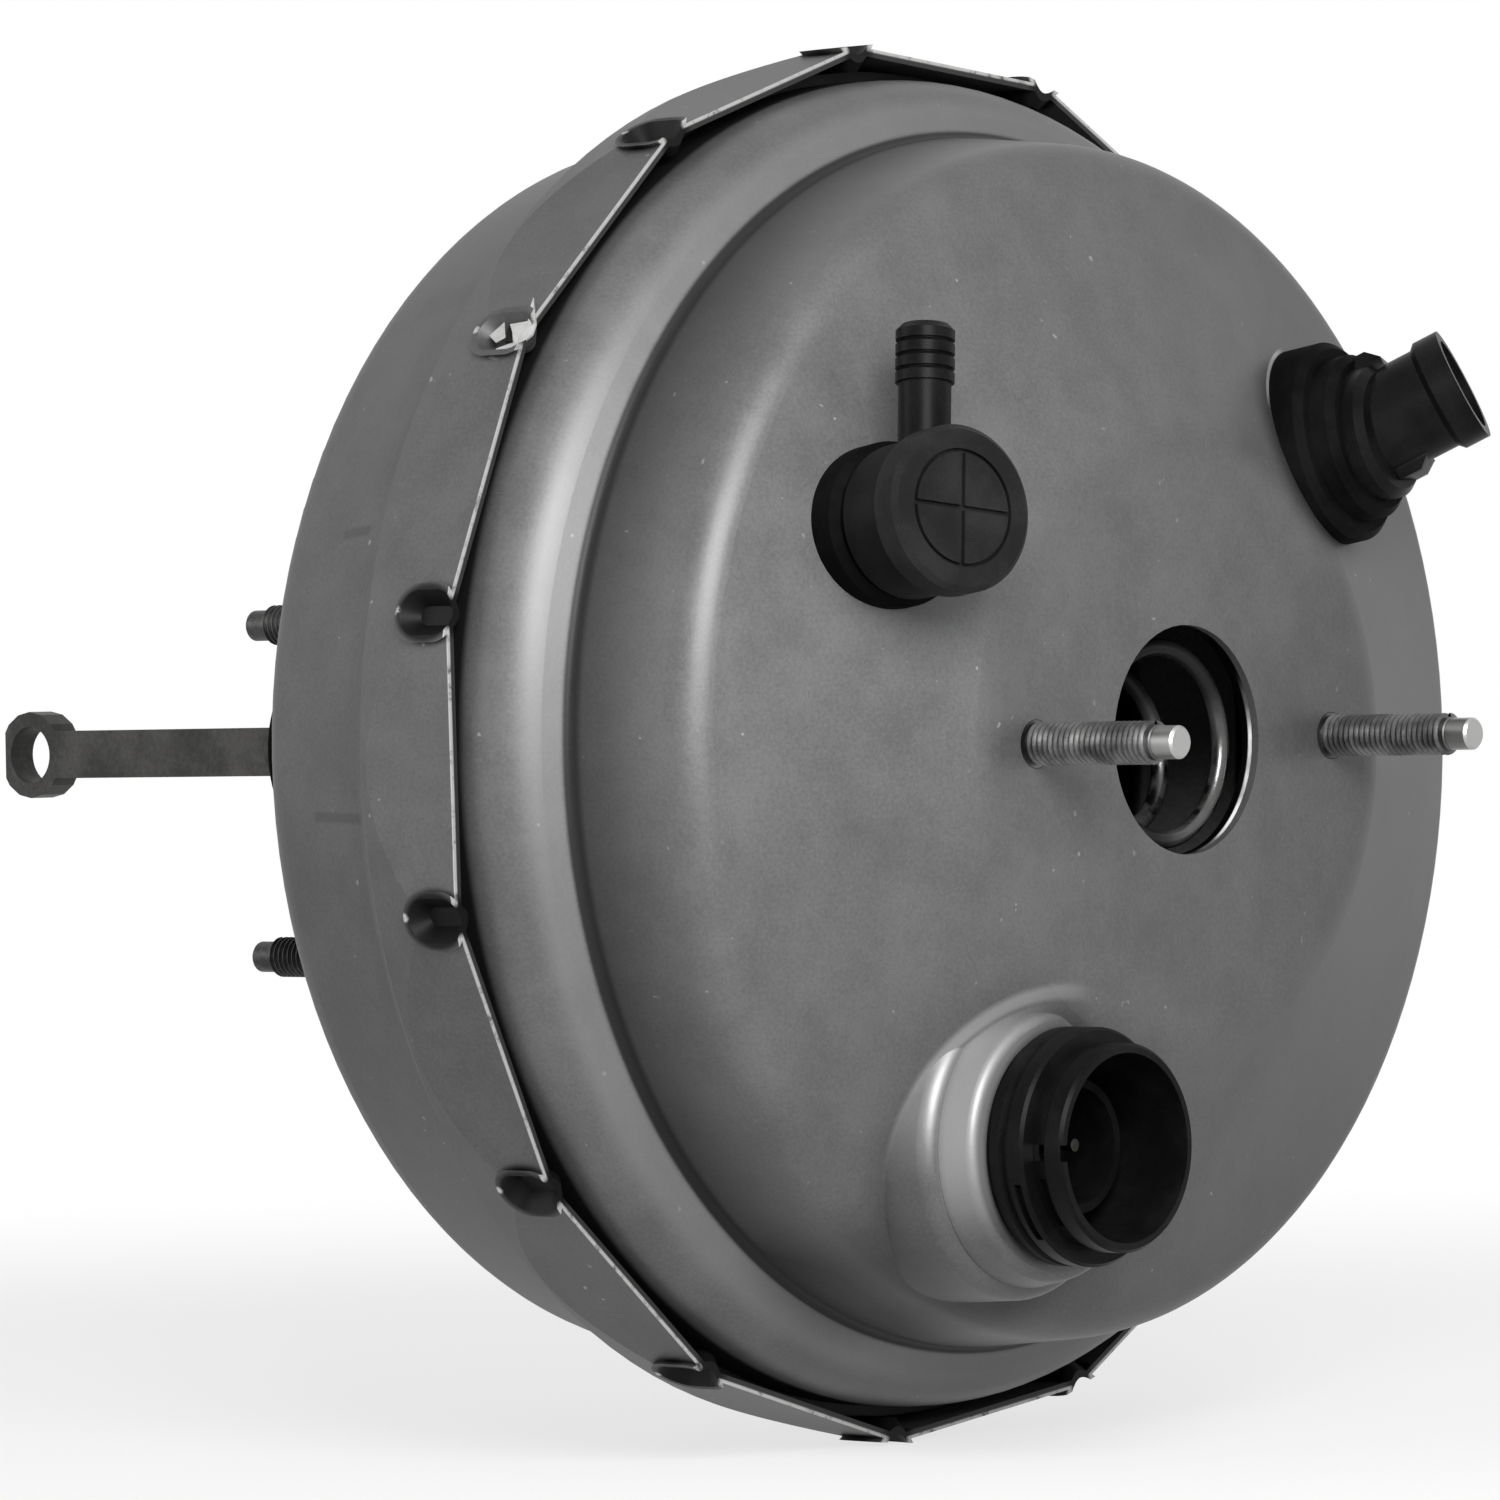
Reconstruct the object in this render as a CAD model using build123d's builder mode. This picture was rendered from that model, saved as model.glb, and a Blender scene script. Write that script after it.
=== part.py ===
from build123d import *
import math
import os

# Tandem vacuum brake booster. X runs along its axis from the firewall face to the
# master cylinder face, Z is up, and the origin is the centre of the firewall face.

os.makedirs("parts", exist_ok=True)

# Fits
running = 0.05  # radial clearance of guided pieces
seat_gap = 0.1  # radial clearance of pieces seated in one body
soft_gap = 0.3  # between pieces of different bodies
overcut = 5.0  # how far a cut runs past what it cuts

# Rear shell
sheet = 1.6  # wall of both outer shells
neck_r = 27.5  # neck that goes through the firewall
neck_length = 18.0
rear_flat_r = 72.0
dome_depth = 41.0  # firewall face to the rear corner of the drum
drum_end_x = 71.0
skirt_run = 6.5  # drum end to the foot of the skirt
skirt_x = drum_end_x + skirt_run
skirt_r = 131.0
skirt_step = 6.0
drum_end_r = skirt_r - skirt_step
drum_taper = 7.0
dome_r = drum_end_r - drum_taper
rear_edge_fillet = 14.0
rear_dome_fillet = 11.0
rear_drum_fillet = 4.0
rim_flare = 5.0
rim_bulge = 0.3
rim_flat_r = skirt_r + rim_bulge  # middle of each straight stretch of the rim

# Joint of the shells
joint_overlap = 8.5  # the front shell's open end past the foot of the skirt
front_end_x = skirt_x + joint_overlap
bead_width = 5.0  # rolled bead that the crimps hold
bead_r = rim_flat_r - sheet - seat_gap
bead_step = 2.4
rim_lip = 9.5  # rim past the bead
rim_x = front_end_x + bead_width + rim_lip
crimp_count = 15
crimp_turn = 0.8  # degrees from +Y to the first crimp
crimp_length = 15.6
crimp_width = 11.0
crimp_depth = 4.8
crimp_flank = 38.0  # degrees that the sides of a crimp lean
crimp_offset = 4.2  # middle of a crimp ahead of the bead

# Front shell
body_depth = 165.0  # firewall face to master cylinder face
face_bore_r = 21.5  # master cylinder spigot hole
face_flat_r = 57.0  # flat round the hole
face_drop = 24.0  # fall of the face cone from the flat to the face edge
shoulder_r = bead_r - bead_step
shoulder_width = 11.7
shoulder_drop = 6.5
shoulder_taper = 0.4
side_foot_r = shoulder_r - shoulder_width
side_draft = 2.8
side_depth = 26.0  # face edge to the foot of the side wall
face_edge_r = side_foot_r - side_draft
face_fillet = 14.0
edge_fillet = 9.0
foot_fillet = 2.0
shoulder_fillet = 14.0
edge_x = body_depth - face_drop
foot_x = edge_x - side_depth

# Fasteners
stud_r = 4.0
front_stud_spacing = 88.0
front_stud_length = 34.0
stud_knurl_r = 4.4  # pressed into the sheet and its plate, flush with the face
stud_head_r = 6.5
stud_head = 2.4
dog_r = 3.05
dog_length = 5.0
rear_stud_across = 92.0
rear_stud_up = 66.0
rear_stud_drop = 7.4  # pattern centre below the booster's axis
rear_stud_length = 35.5
plate_wall = 2.5  # reinforcement plates
plate_margin = 6.0  # flat left round the reinforcement plates
front_plate_r = face_flat_r - plate_margin
rear_plate_r = rear_flat_r - plate_margin

# Diaphragms, plates and springs
support_wall = 1.2
seal_wall = 1.5
diaphragm_wall = 2.0
flange_inset = 3.8  # centre plate's flange behind the front shell's open end
centre_flange_x = front_end_x - flange_inset
centre_dish = 13.2
centre_plate_x = centre_flange_x - centre_dish
centre_flange = 19.0  # width of its flange
centre_cone = 14.0  # width of the cone inside the flange
centre_cone_r = skirt_r - centre_flange
centre_flat_r = centre_cone_r - centre_cone
centre_bends = [2.0, 6.0, 4.0]
lip_gap = 4.5  # its lip outside the hub
lip_depth = 7.0
bead_inset = 3.4
bead_gap = 1.0  # rear diaphragm's bead ahead of the foot of the skirt
bead_top_r = skirt_r - bead_inset  # outer radius of both diaphragm beads
rear_roll = 26.0  # room outside the rear plate for its diaphragm
rear_support_r = drum_end_r - rear_roll
rear_support_flat_r = 56.0
rear_bend = 8.0
front_bend = 6.0
rear_support_dish = 22.0
front_roll = 20.2  # room outside the front plate for its diaphragm
front_cone = 13.0  # width of the plate's cone
front_support_r = shoulder_r - front_roll
front_support_flat_r = front_support_r - front_cone
front_support_dish = 16.7
support_lip = 4.0
support_draft = 0.5
rear_sheet_grip = 3.0  # rear diaphragm's bore inside the hub
front_sheet_gap = 1.0  # front diaphragm's bore outside the hub
rear_roll_points = [(-2.0, 1.5), (3.0, 8.0)]  # ahead of and outside the rear plate's lip
rear_rise_points = [(-5.0, 4.6), (2.0, 1.0)]  # ahead of the bead and inside the drum
rear_roll_bends = [8.0, 4.0, 4.0, 3.0]
front_roll_points = [(-4.0, 1.5), (0.0, 6.0)]  # ahead of and outside the front plate's lip
front_rise_drops = [7.0, 2.0]  # inside the shoulder
front_roll_bends = [6.0, 3.0, 3.0, 2.0]
seat_bends = [1.5, 0.8]
spring_wire = 3.4
spring_sides = 8  # flats that stand for the wire's round section
spring_coils = 5.0
spring_front_r = 21.4
spring_rear_r = 16.4

# Moving assembly
valve_travel = 2.5
hub_r = 27.0
hub_front_r = 24.0
hub_start_x = 12.0
hub_step = 6.3  # front plate's seat ahead of the centre plate
hub_step_x = centre_plate_x + hub_step
hub_nose = 8.7
hub_end_x = hub_step_x + hub_nose
hub_recess = 28.0  # depth of the reaction disc's bore
tube_r = 21.4
tube_length = 44.0  # behind the firewall face
tube_bore_r = 18.0
valve_bore_r = 15.0
valve_bore_start_x = -5.0
valve_land = 10.0  # wall between the valve's bore and the reaction disc
disc_bore_x = hub_end_x - hub_recess
valve_bore_end_x = disc_bore_x - valve_land
guide_r = 8.0
disc_r = 14.9
disc_length = 6.0
rod_flange = 6.0
rod_root_r = 7.5
rod_root = 4.0
output_rod_r = 6.0
output_rod_back = 25.0  # rod tip behind the master cylinder face
output_tip_r = 4.2
output_tip = 8.0
output_tip_bevel = 1.5
coil_length = 21.0
coil_wall = 5.5
filter_length = 12.0
filter_bore_r = 9.5
retainer_wall = 1.5
poppet_lip = 1.8
poppet_length = 9.0
plunger_head_r = 11.5
plunger_collar_r = 9.0
plunger_head = 3.0
bearing_margin = 1.3  # rear hub seal inside the neck's ends
retainer_step = 0.6

# Push rod and boot
ball_r = 6.0
ball_x = 10.0
ball_neck_r = 3.6
ball_neck = 13.0
ball_socket = 4.0  # plunger behind the ball's centre
rod_r = 5.0
rod_flat_x = -72.0
bar_height = 10.0
bar_width = 6.4
eye_x = -147.7
eye_r = 9.0
eye_hole_r = 6.0
eye_flat = 7.6  # hole centre to the squared end
eye_sides = 16  # the eye is forged with flats
boot_wall = 1.5
boot_gap = 0.6
boot_cuff = 5.0
boot_valley_r = 22.6
boot_crest_r = 25.7
boot_pitch = 8.0
boot_folds = 2
boot_bend = 1.0
boot_throat_r = 9.0
boot_tail = [  # behind the last fold, and radius
    (boot_pitch / 2, boot_valley_r),
    (boot_pitch, boot_valley_r),
    (12.0, 17.0),
    (17.6, 15.0),
    (22.4, boot_throat_r),
]
boot_end_x = -71.0

# Check valve
valve_y = -72.0
valve_z = 40.0
valve_lean = 9.0  # degrees from the face's normal towards the booster's axis
valve_turn = 0.13  # sideways share of the barb's upward direction
valve_grommet_r = 15.2
valve_grommet_height = 4.6
valve_hole_r = 11.0
bulb_overhang = 1.6  # grommet bulb past the hole
bulb_depth = 4.5
wedge = 3.2  # depth of a grommet's wedge under its port
flange_bevel = 1.5
stem_r = 7.5
stem_bore_r = 4.4
stem_depth = 12.0
valve_drum_r = 14.2
valve_drum_start = 5.2
valve_cap_r = 15.3
valve_cap_start = 17.2
valve_height = 23.2
valve_chamber_r = 11.2
valve_seat = 7.6
cap_groove_r = 10.8
cap_groove = 0.7
cap_slot = 0.9
cap_bevel = 1.0
poppet_r = 8.5
poppet_wall = 2.0
poppet_stem = 3.0
valve_spring_r = 5.0
valve_spring_wire = 0.8
barb_height = 11.2
barb_reach = 35.5
barb_r = 4.8
barb_ridge_r = 5.4
barb_bore_r = 3.1
barb_ridges = 4
barb_pitch = 2.6
barb_ridge = 1.8
barb_nose = 1.2

# Travel sensor
sensor_y = 53.4
sensor_z = 55.5
sensor_lean = 9.0  # degrees from the face's normal towards the booster's axis
sensor_grommet_r = 19.5
sensor_grommet_height = 6.5
sensor_step_r = 16.0
sensor_step_height = 11.5
sensor_hole_r = 14.0
sensor_tube_r = 9.0
sensor_tube_depth = 48.0
sensor_head_r = 13.0
sensor_head_height = 16.0
sensor_bore_end = 2.0  # bore's closed end below the head's foot
sensor_plunger_r = 6.0
plunger_engaged = 14.0  # length guided in the tube at rest
plug_start = 8.5
plug_lean = 24.8  # degrees that the plug turns from the sensor's axis
plug_swing = -48.0  # degrees round that axis from its upward direction
plug_length = 22.5
plug_r = 10.2
plug_collar_r = 11.3
plug_collar = 5.0
plug_bore_r = 9.2
plug_bore_depth = 12.0
pin_length = 6.0
pin_r = 0.8
pin_circle_r = 3.2
pin_count = 4

# Harness socket on its stamped boss
socket_y = -37.0
socket_z = -74.0
socket_drop = 2.0  # socket seat behind the master cylinder face
socket_seat_x = body_depth - socket_drop
boss_step = 7.0  # height of the inner step
boss_step_x = socket_seat_x - boss_step
boss_root = 19.0  # boss foot below its step
boss_base_x = boss_step_x - boss_root
boss_base_r = 29.8
boss_outer_r = 28.6
boss_step_r = 26.4
boss_inner_r = 24.8
boss_fillet = 3.4
boss_step_fillet = 2.0
socket_hole_r = 18.6
socket_flange_r = 22.0
socket_flange_height = 9.0
socket_groove = 0.9
socket_groove_width = 1.0
socket_mouth_r = 19.2
socket_waist = 0.6
socket_height = 16.0
socket_bevel = 0.6
socket_bore_r = 17.4
socket_bore_depth = 24.0
socket_depth = 12.0
socket_seal = 1.5
socket_core_r = 12.5
socket_core_wall = 1.6
socket_core_drop = 12.0  # core's end below the mouth
socket_slot_width = 1.6
socket_slot_start = 195.0  # degrees from the key's far side to both slots
socket_slot_sweep = 32.0
key_width = 3.0
key_depth = 8.0
socket_pin_r = 1.2
socket_pin_length = 9.0
socket_pin_pitch = 6.0

booster = Plane.YZ  # local x is Y, local y is Z, and the normal runs along X


def section(port):
    """The plane through a port's axis, whose x is height along the axis and y is radius."""
    return Plane(origin=port.origin, x_dir=port.z_dir, z_dir=port.z_dir.cross(port.x_dir))


def turn(port, *points, radius=0, mode=Mode.ADD):
    """Revolve a closed outline of (height, radius) points about a port's axis."""
    with BuildSketch(section(port)) as outline:
        with BuildLine():
            FilletPolyline(*points, radius=radius, close=True)
        make_face()
    revolve(outline.sketch, axis=Axis(port.origin, port.z_dir), mode=mode)


def tube(port, start, end, outer, inner=0.0, mode=Mode.ADD):
    """A round bar or tube between two heights of a port."""
    turn(port, (start, inner), (start, outer), (end, outer), (end, inner), mode=mode)


def press(port, points, radii, wall, side):
    """Revolve a sheet that follows an open outline of (height, radius) points."""
    with BuildSketch(section(port)) as outline:
        with BuildLine():
            FilletPolyline(*points, radius=radii)
            offset(amount=wall, side=side)
        make_face()
    revolve(outline.sketch, axis=Axis(port.origin, port.z_dir))


def inset(points, wall):
    """An open outline moved to its left by a wall, corner by corner."""
    moved = []
    for (ax, ay), (bx, by) in zip(points[:-1], points[1:]):
        run = math.hypot(bx - ax, by - ay)
        shift_x = -(by - ay) / run * wall
        shift_y = (bx - ax) / run * wall
        moved.append(((ax + shift_x, ay + shift_y), (bx + shift_x, by + shift_y)))
    corners = [moved[0][0]]
    for (a, b), (c, d) in zip(moved[:-1], moved[1:]):
        ux, uy = b[0] - a[0], b[1] - a[1]
        vx, vy = d[0] - c[0], d[1] - c[1]
        t = ((c[0] - a[0]) * vy - (c[1] - a[1]) * vx) / (ux * vy - uy * vx)
        corners.append((a[0] + ux * t, a[1] + uy * t))
    return corners + [moved[-1][1]]


def on_face(y, z, lean, sideways):
    """A port on the face cone, leaning off its normal towards the booster's axis."""
    radius = math.hypot(y, z)
    slope = math.atan2(face_drop, face_edge_r - face_flat_r)
    x = body_depth - (radius - face_flat_r) * math.tan(slope)
    tilt = slope - math.radians(lean)
    normal = Vector(math.cos(tilt), math.sin(tilt) * y / radius, math.sin(tilt) * z / radius)
    up = Vector(0, sideways, 1)
    return Plane(origin=(x, y, z), x_dir=up - normal * up.dot(normal), z_dir=normal)


def closed_turn(points, radii, mode=Mode.ADD):
    """Revolve everything between an open outline and the booster's axis."""
    with BuildSketch(section(booster)) as outline:
        with BuildLine():
            wall = FilletPolyline(*points, radius=radii)
            Polyline(wall @ 1, (points[-1][0], 0), wall @ 0)
        make_face()
    revolve(outline.sketch, axis=Axis.X, mode=mode)


def stud_holes(start, depth, across, up, drop):
    """Clearance holes for a stud pattern."""
    with BuildSketch(Plane.YZ.offset(start)) as holes:
        with Locations((0, -drop)):
            with GridLocations(across, up, 2, 2 if up else 1):
                Circle(stud_knurl_r + seat_gap)
    extrude(holes.sketch, amount=depth, mode=Mode.SUBTRACT)


def finish(name, piece):
    """Label a finished piece and write it."""
    piece.part.label = name
    export_step(piece.part, f"parts/{name}.step")


valve_port = on_face(valve_y, valve_z, valve_lean, valve_turn)
sensor_port = on_face(sensor_y, sensor_z, sensor_lean, 0)
socket_port = Plane(origin=(socket_seat_x, socket_y, socket_z), x_dir=(0, 1, 0), z_dir=(1, 0, 0))

# ---------------------------------------------------------------- front shell
front_outline = [
    (body_depth, 0),
    (body_depth, face_flat_r),
    (edge_x, face_edge_r),
    (foot_x, side_foot_r),
    (foot_x - shoulder_drop, shoulder_r),
    (front_end_x, shoulder_r + shoulder_taper),
]
front_radii = [face_fillet, edge_fillet, foot_fillet, shoulder_fillet]
front_inside = inset(front_outline, sheet)
front_inside[-1] = (front_end_x - overcut, front_inside[-1][1])
front_inside_radii = [face_fillet - sheet, edge_fillet - sheet, foot_fillet + sheet, shoulder_fillet - sheet]


def boss(wall):
    """The stepped boss under the harness socket, or the hollow inside it."""
    upright = (Align.CENTER, Align.CENTER, Align.MIN)
    with BuildPart(socket_port.offset(boss_base_x - wall - socket_seat_x), mode=Mode.PRIVATE) as form:
        Cone(boss_base_r - wall, boss_outer_r - wall, boss_root, align=upright)
        fillet(form.faces().sort_by(Axis.X)[-1].edges(), boss_fillet - wall)
        with Locations((0, 0, boss_root)):
            Cone(boss_step_r - wall, boss_inner_r - wall, boss_step, align=upright)
        fillet(form.faces().sort_by(Axis.X)[-1].edges(), boss_step_fillet)
    return form.part


with BuildPart() as front_shell:
    closed_turn(front_outline, front_radii)
    add(boss(0))
    closed_turn(front_inside, front_inside_radii, mode=Mode.SUBTRACT)
    add(boss(sheet), mode=Mode.SUBTRACT)
    tube(booster, front_end_x, front_end_x + bead_width, bead_r, shoulder_r - sheet)
    tube(booster, body_depth - overcut, body_depth + overcut, face_bore_r, mode=Mode.SUBTRACT)
    stud_holes(body_depth - overcut, overcut, front_stud_spacing, 0, 0)
    tube(valve_port, -overcut, overcut, valve_hole_r, mode=Mode.SUBTRACT)
    tube(sensor_port, -overcut, overcut, sensor_hole_r, mode=Mode.SUBTRACT)
    tube(socket_port, -overcut, overcut, socket_hole_r, mode=Mode.SUBTRACT)
finish("front_shell", front_shell)

front_plate_x = body_depth - sheet - plate_wall
with BuildPart() as front_plate:
    tube(booster, front_plate_x, body_depth - sheet, front_plate_r, face_bore_r)
    stud_holes(front_plate_x, plate_wall, front_stud_spacing, 0, 0)
finish("front_reinforcement_plate", front_plate)


def stud(seat_x, way, back, length):
    """A threaded stud with a welded head under the plate and a plain dog point."""
    port = Plane(origin=(seat_x, 0, 0), x_dir=(0, 1, 0), z_dir=(way, 0, 0))
    turn(
        port,
        (-back - stud_head, 0),
        (-back - stud_head, stud_head_r),
        (-back, stud_head_r),
        (-back, stud_knurl_r),
        (0, stud_knurl_r),
        (0, stud_r),
        (length - dog_length, stud_r),
        (length - dog_length + stud_r - dog_r, dog_r),
        (length, dog_r),
        (length, 0),
    )


with BuildPart(mode=Mode.PRIVATE) as front_stud:
    stud(body_depth, 1, sheet + plate_wall, front_stud_length)
with BuildPart() as front_studs:
    with Locations((0, -front_stud_spacing / 2, 0), (0, front_stud_spacing / 2, 0)):
        add(front_stud.part)
finish("master_cylinder_studs", front_studs)

# ---------------------------------------------------------------- rear shell
rear_outline = [
    (0, 0),
    (0, rear_flat_r),
    (dome_depth, dome_r),
    (drum_end_x, drum_end_r),
    (skirt_x, skirt_r),
]
rear_radii = [rear_edge_fillet, rear_dome_fillet, rear_drum_fillet]
rear_inside = [(-x, r) for x, r in inset([(-x, r) for x, r in rear_outline], sheet)]
rear_inside_radii = [rear_edge_fillet - sheet, rear_dome_fillet - sheet, rear_drum_fillet + sheet]
rim_corner_r = rim_flat_r / math.cos(math.pi / crimp_count)
crimp_x = front_end_x + bead_width + crimp_offset
flare = rim_flare / (rim_x - skirt_x)


def skirt(wall, start, end):
    """The flared skirt round the joint: a cone cut to straight stretches between the crimps."""
    low = Plane.YZ.offset(start)
    upright = (Align.CENTER, Align.CENTER, Align.MIN)
    with BuildPart(low, mode=Mode.PRIVATE) as cone:
        foot_r = skirt_r - wall + (start - skirt_x) * flare
        Cone(foot_r, foot_r + (end - start) * flare, end - start, align=upright)
        with BuildSketch(low):
            RegularPolygon(rim_flat_r - wall, crimp_count, major_radius=False, rotation=crimp_turn)
        extrude(amount=end - start, mode=Mode.INTERSECT)
    return cone.part


def crimp(angle, lift, mode):
    """A wedge punched into the skirt at one corner of the rim, or the dent that it leaves."""
    out = Vector(0, math.cos(math.radians(angle)), math.sin(math.radians(angle)))
    face = Plane(origin=out * (rim_corner_r + lift) + Vector(crimp_x, 0, 0), x_dir=(1, 0, 0), z_dir=-out)
    with BuildSketch(face) as wedge_outline:
        SlotOverall(crimp_length, crimp_width)
    extrude(wedge_outline.sketch, amount=crimp_depth, taper=crimp_flank, mode=mode)


with BuildPart() as rear_shell:
    closed_turn(rear_outline, rear_radii)
    add(skirt(0, skirt_x, rim_x))
    closed_turn(rear_inside, rear_inside_radii, mode=Mode.SUBTRACT)
    add(skirt(sheet, rear_inside[-1][0], rim_x + overcut), mode=Mode.SUBTRACT)
    tube(booster, -neck_length, sheet, neck_r)
    tube(booster, -neck_length - overcut, overcut, neck_r - sheet, mode=Mode.SUBTRACT)
    stud_holes(-overcut, 2 * overcut, rear_stud_across, rear_stud_up, rear_stud_drop)
    for step in range(crimp_count):
        crimp(crimp_turn + 360 / crimp_count * step, 0, Mode.ADD)
    for step in range(crimp_count):
        crimp(crimp_turn + 360 / crimp_count * step, sheet, Mode.SUBTRACT)
    tube(booster, rim_x, rim_x + overcut, rim_corner_r + overcut, shoulder_r, mode=Mode.SUBTRACT)
finish("rear_shell", rear_shell)

with BuildPart() as rear_plate:
    tube(booster, sheet, sheet + plate_wall, rear_plate_r, neck_r + soft_gap)
    stud_holes(sheet, plate_wall, rear_stud_across, rear_stud_up, rear_stud_drop)
finish("rear_reinforcement_plate", rear_plate)

with BuildPart(mode=Mode.PRIVATE) as rear_stud:
    stud(0, -1, sheet + plate_wall, rear_stud_length)
with BuildPart() as rear_studs:
    with Locations((0, 0, -rear_stud_drop)):
        for side in (-rear_stud_across / 2, rear_stud_across / 2):
            for level in (-rear_stud_up / 2, rear_stud_up / 2):
                with Locations((0, side, level)):
                    add(rear_stud.part)
finish("firewall_studs", rear_studs)

# ---------------------------------------------------------------- inside the housing
lip_r = hub_r + lip_gap
lip_x = centre_plate_x - lip_depth
seal_r = lip_r - support_wall - seat_gap
centre_outline = [
    (lip_x, lip_r),
    (centre_plate_x, lip_r),
    (centre_plate_x, centre_flat_r),
    (centre_flange_x, centre_cone_r),
    (centre_flange_x, bead_top_r),
]
with BuildPart() as centre_plate:
    press(booster, centre_outline, centre_bends, support_wall, Side.RIGHT)
finish("centre_plate", centre_plate)

with BuildPart() as centre_seal:
    turn(
        booster,
        (lip_x - seal_wall, hub_r + running),
        (lip_x - seal_wall, lip_r),
        (lip_x - seat_gap, lip_r),
        (lip_x - seat_gap, seal_r),
        (centre_plate_x - seal_wall, seal_r),
        (centre_plate_x - seal_wall, hub_r + running),
    )
finish("centre_plate_seal", centre_seal)

with BuildPart() as rear_bearing:
    tube(booster, bearing_margin - neck_length, -bearing_margin, neck_r - sheet - seat_gap, tube_r + running)
finish("rear_hub_seal", rear_bearing)

with BuildPart() as rear_retainer:
    tube(booster, -neck_length - boot_cuff, -neck_length, boot_crest_r - seat_gap, tube_r + retainer_step)
    tube(
        booster,
        -neck_length,
        bearing_margin - neck_length,
        neck_r - sheet - seat_gap,
        tube_r + 2 * retainer_step,
    )
finish("rear_seal_retainer", rear_retainer)

rear_sheet_x = hub_start_x - support_wall - seat_gap
rear_roll_x = hub_start_x + rear_support_dish
rear_bead_x = skirt_x + bead_gap
with BuildPart() as rear_diaphragm:
    press(
        booster,
        [
            (rear_sheet_x, hub_r - rear_sheet_grip),
            (rear_sheet_x, rear_support_flat_r),
            *[(rear_roll_x + ahead, rear_support_r + out) for ahead, out in rear_roll_points],
            *[(rear_bead_x + ahead, drum_end_r - sheet - drop) for ahead, drop in rear_rise_points],
        ],
        rear_roll_bends,
        diaphragm_wall,
        Side.LEFT,
    )
    tube(booster, rear_bead_x, centre_flange_x, bead_top_r, drum_end_r - sheet - diaphragm_wall)
finish("rear_diaphragm", rear_diaphragm)

flange_face_x = centre_flange_x + support_wall
front_sheet_x = hub_step_x - support_wall - seat_gap
front_roll_x = hub_step_x + front_support_dish
with BuildPart() as front_diaphragm:
    press(
        booster,
        [
            (front_sheet_x, hub_r + front_sheet_gap),
            (front_sheet_x, front_support_flat_r),
            *[(front_roll_x + ahead, front_support_r + out) for ahead, out in front_roll_points],
            *[(flange_face_x + diaphragm_wall, shoulder_r - drop) for drop in front_rise_drops],
        ],
        front_roll_bends,
        diaphragm_wall,
        Side.LEFT,
    )
    tube(booster, flange_face_x, front_end_x, bead_top_r, shoulder_r - 2 * diaphragm_wall)
finish("front_diaphragm", front_diaphragm)

# ---------------------------------------------------------------- moving assembly
with BuildPart() as valve_body:
    turn(
        booster,
        (-tube_length, 0),
        (-tube_length, tube_r),
        (hub_start_x, tube_r),
        (hub_start_x, hub_r),
        (hub_step_x - support_wall, hub_r),
        (hub_step_x - support_wall, hub_front_r),
        (hub_end_x, hub_front_r),
        (hub_end_x, 0),
    )
    tube(booster, -tube_length, valve_bore_start_x, tube_bore_r, mode=Mode.SUBTRACT)
    tube(booster, valve_bore_start_x, valve_bore_end_x, valve_bore_r, mode=Mode.SUBTRACT)
    tube(booster, valve_bore_end_x, disc_bore_x, guide_r + running, mode=Mode.SUBTRACT)
    tube(booster, disc_bore_x, hub_end_x, disc_r + seat_gap, mode=Mode.SUBTRACT)
finish("valve_body", valve_body)


def diaphragm_plate(start_x, bore_r, flat_r, dish, outer_r, bend):
    """A dished plate that backs a diaphragm, with a rolled lip."""
    outline = [
        (start_x, bore_r + seat_gap),
        (start_x, flat_r),
        (start_x + dish, outer_r),
        (start_x + dish + support_lip, outer_r + support_draft),
    ]
    press(booster, outline, [bend, support_lip / 2], support_wall, Side.LEFT)


with BuildPart() as rear_support:
    diaphragm_plate(hub_start_x, tube_r, rear_support_flat_r, rear_support_dish, rear_support_r, rear_bend)
finish("rear_diaphragm_plate", rear_support)

with BuildPart() as front_support:
    diaphragm_plate(
        hub_step_x, hub_front_r, front_support_flat_r, front_support_dish, front_support_r, front_bend
    )
finish("front_diaphragm_plate", front_support)

with BuildPart() as solenoid:
    coil_end_x = valve_bore_end_x - soft_gap
    tube(booster, coil_end_x - coil_length, coil_end_x, valve_bore_r - seat_gap, valve_bore_r - coil_wall)
finish("solenoid_coil", solenoid)

rod_base_x = disc_bore_x + disc_length
rod_neck_x = rod_base_x + rod_flange
with BuildPart() as reaction_disc:
    tube(booster, disc_bore_x, rod_base_x, disc_r)
finish("reaction_disc", reaction_disc)

output_rod_end_x = body_depth - output_rod_back
with BuildPart() as output_rod:
    tube(booster, rod_base_x, rod_neck_x, disc_r)
    turn(
        booster,
        (rod_base_x, 0),
        (rod_base_x, rod_root_r),
        (rod_neck_x + rod_root, rod_root_r),
        (rod_neck_x + rod_root + rod_root_r - output_rod_r, output_rod_r),
        (output_rod_end_x - output_tip, output_rod_r),
        (output_rod_end_x - output_tip, output_tip_r),
        (output_rod_end_x - output_tip_bevel, output_tip_r),
        (output_rod_end_x, output_tip_r - output_tip_bevel),
        (output_rod_end_x, 0),
    )
finish("output_rod", output_rod)

seat_x = hub_end_x + seat_gap
with BuildPart() as spring_seat:
    seat_outline = [
        (rod_neck_x + seat_gap, rod_root_r + soft_gap),
        (rod_neck_x + seat_gap, disc_r - support_wall),
        (seat_x, disc_r - support_wall),
        (seat_x, hub_front_r),
    ]
    press(booster, seat_outline, seat_bends, support_wall, Side.RIGHT)
finish("spring_seat", spring_seat)

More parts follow.
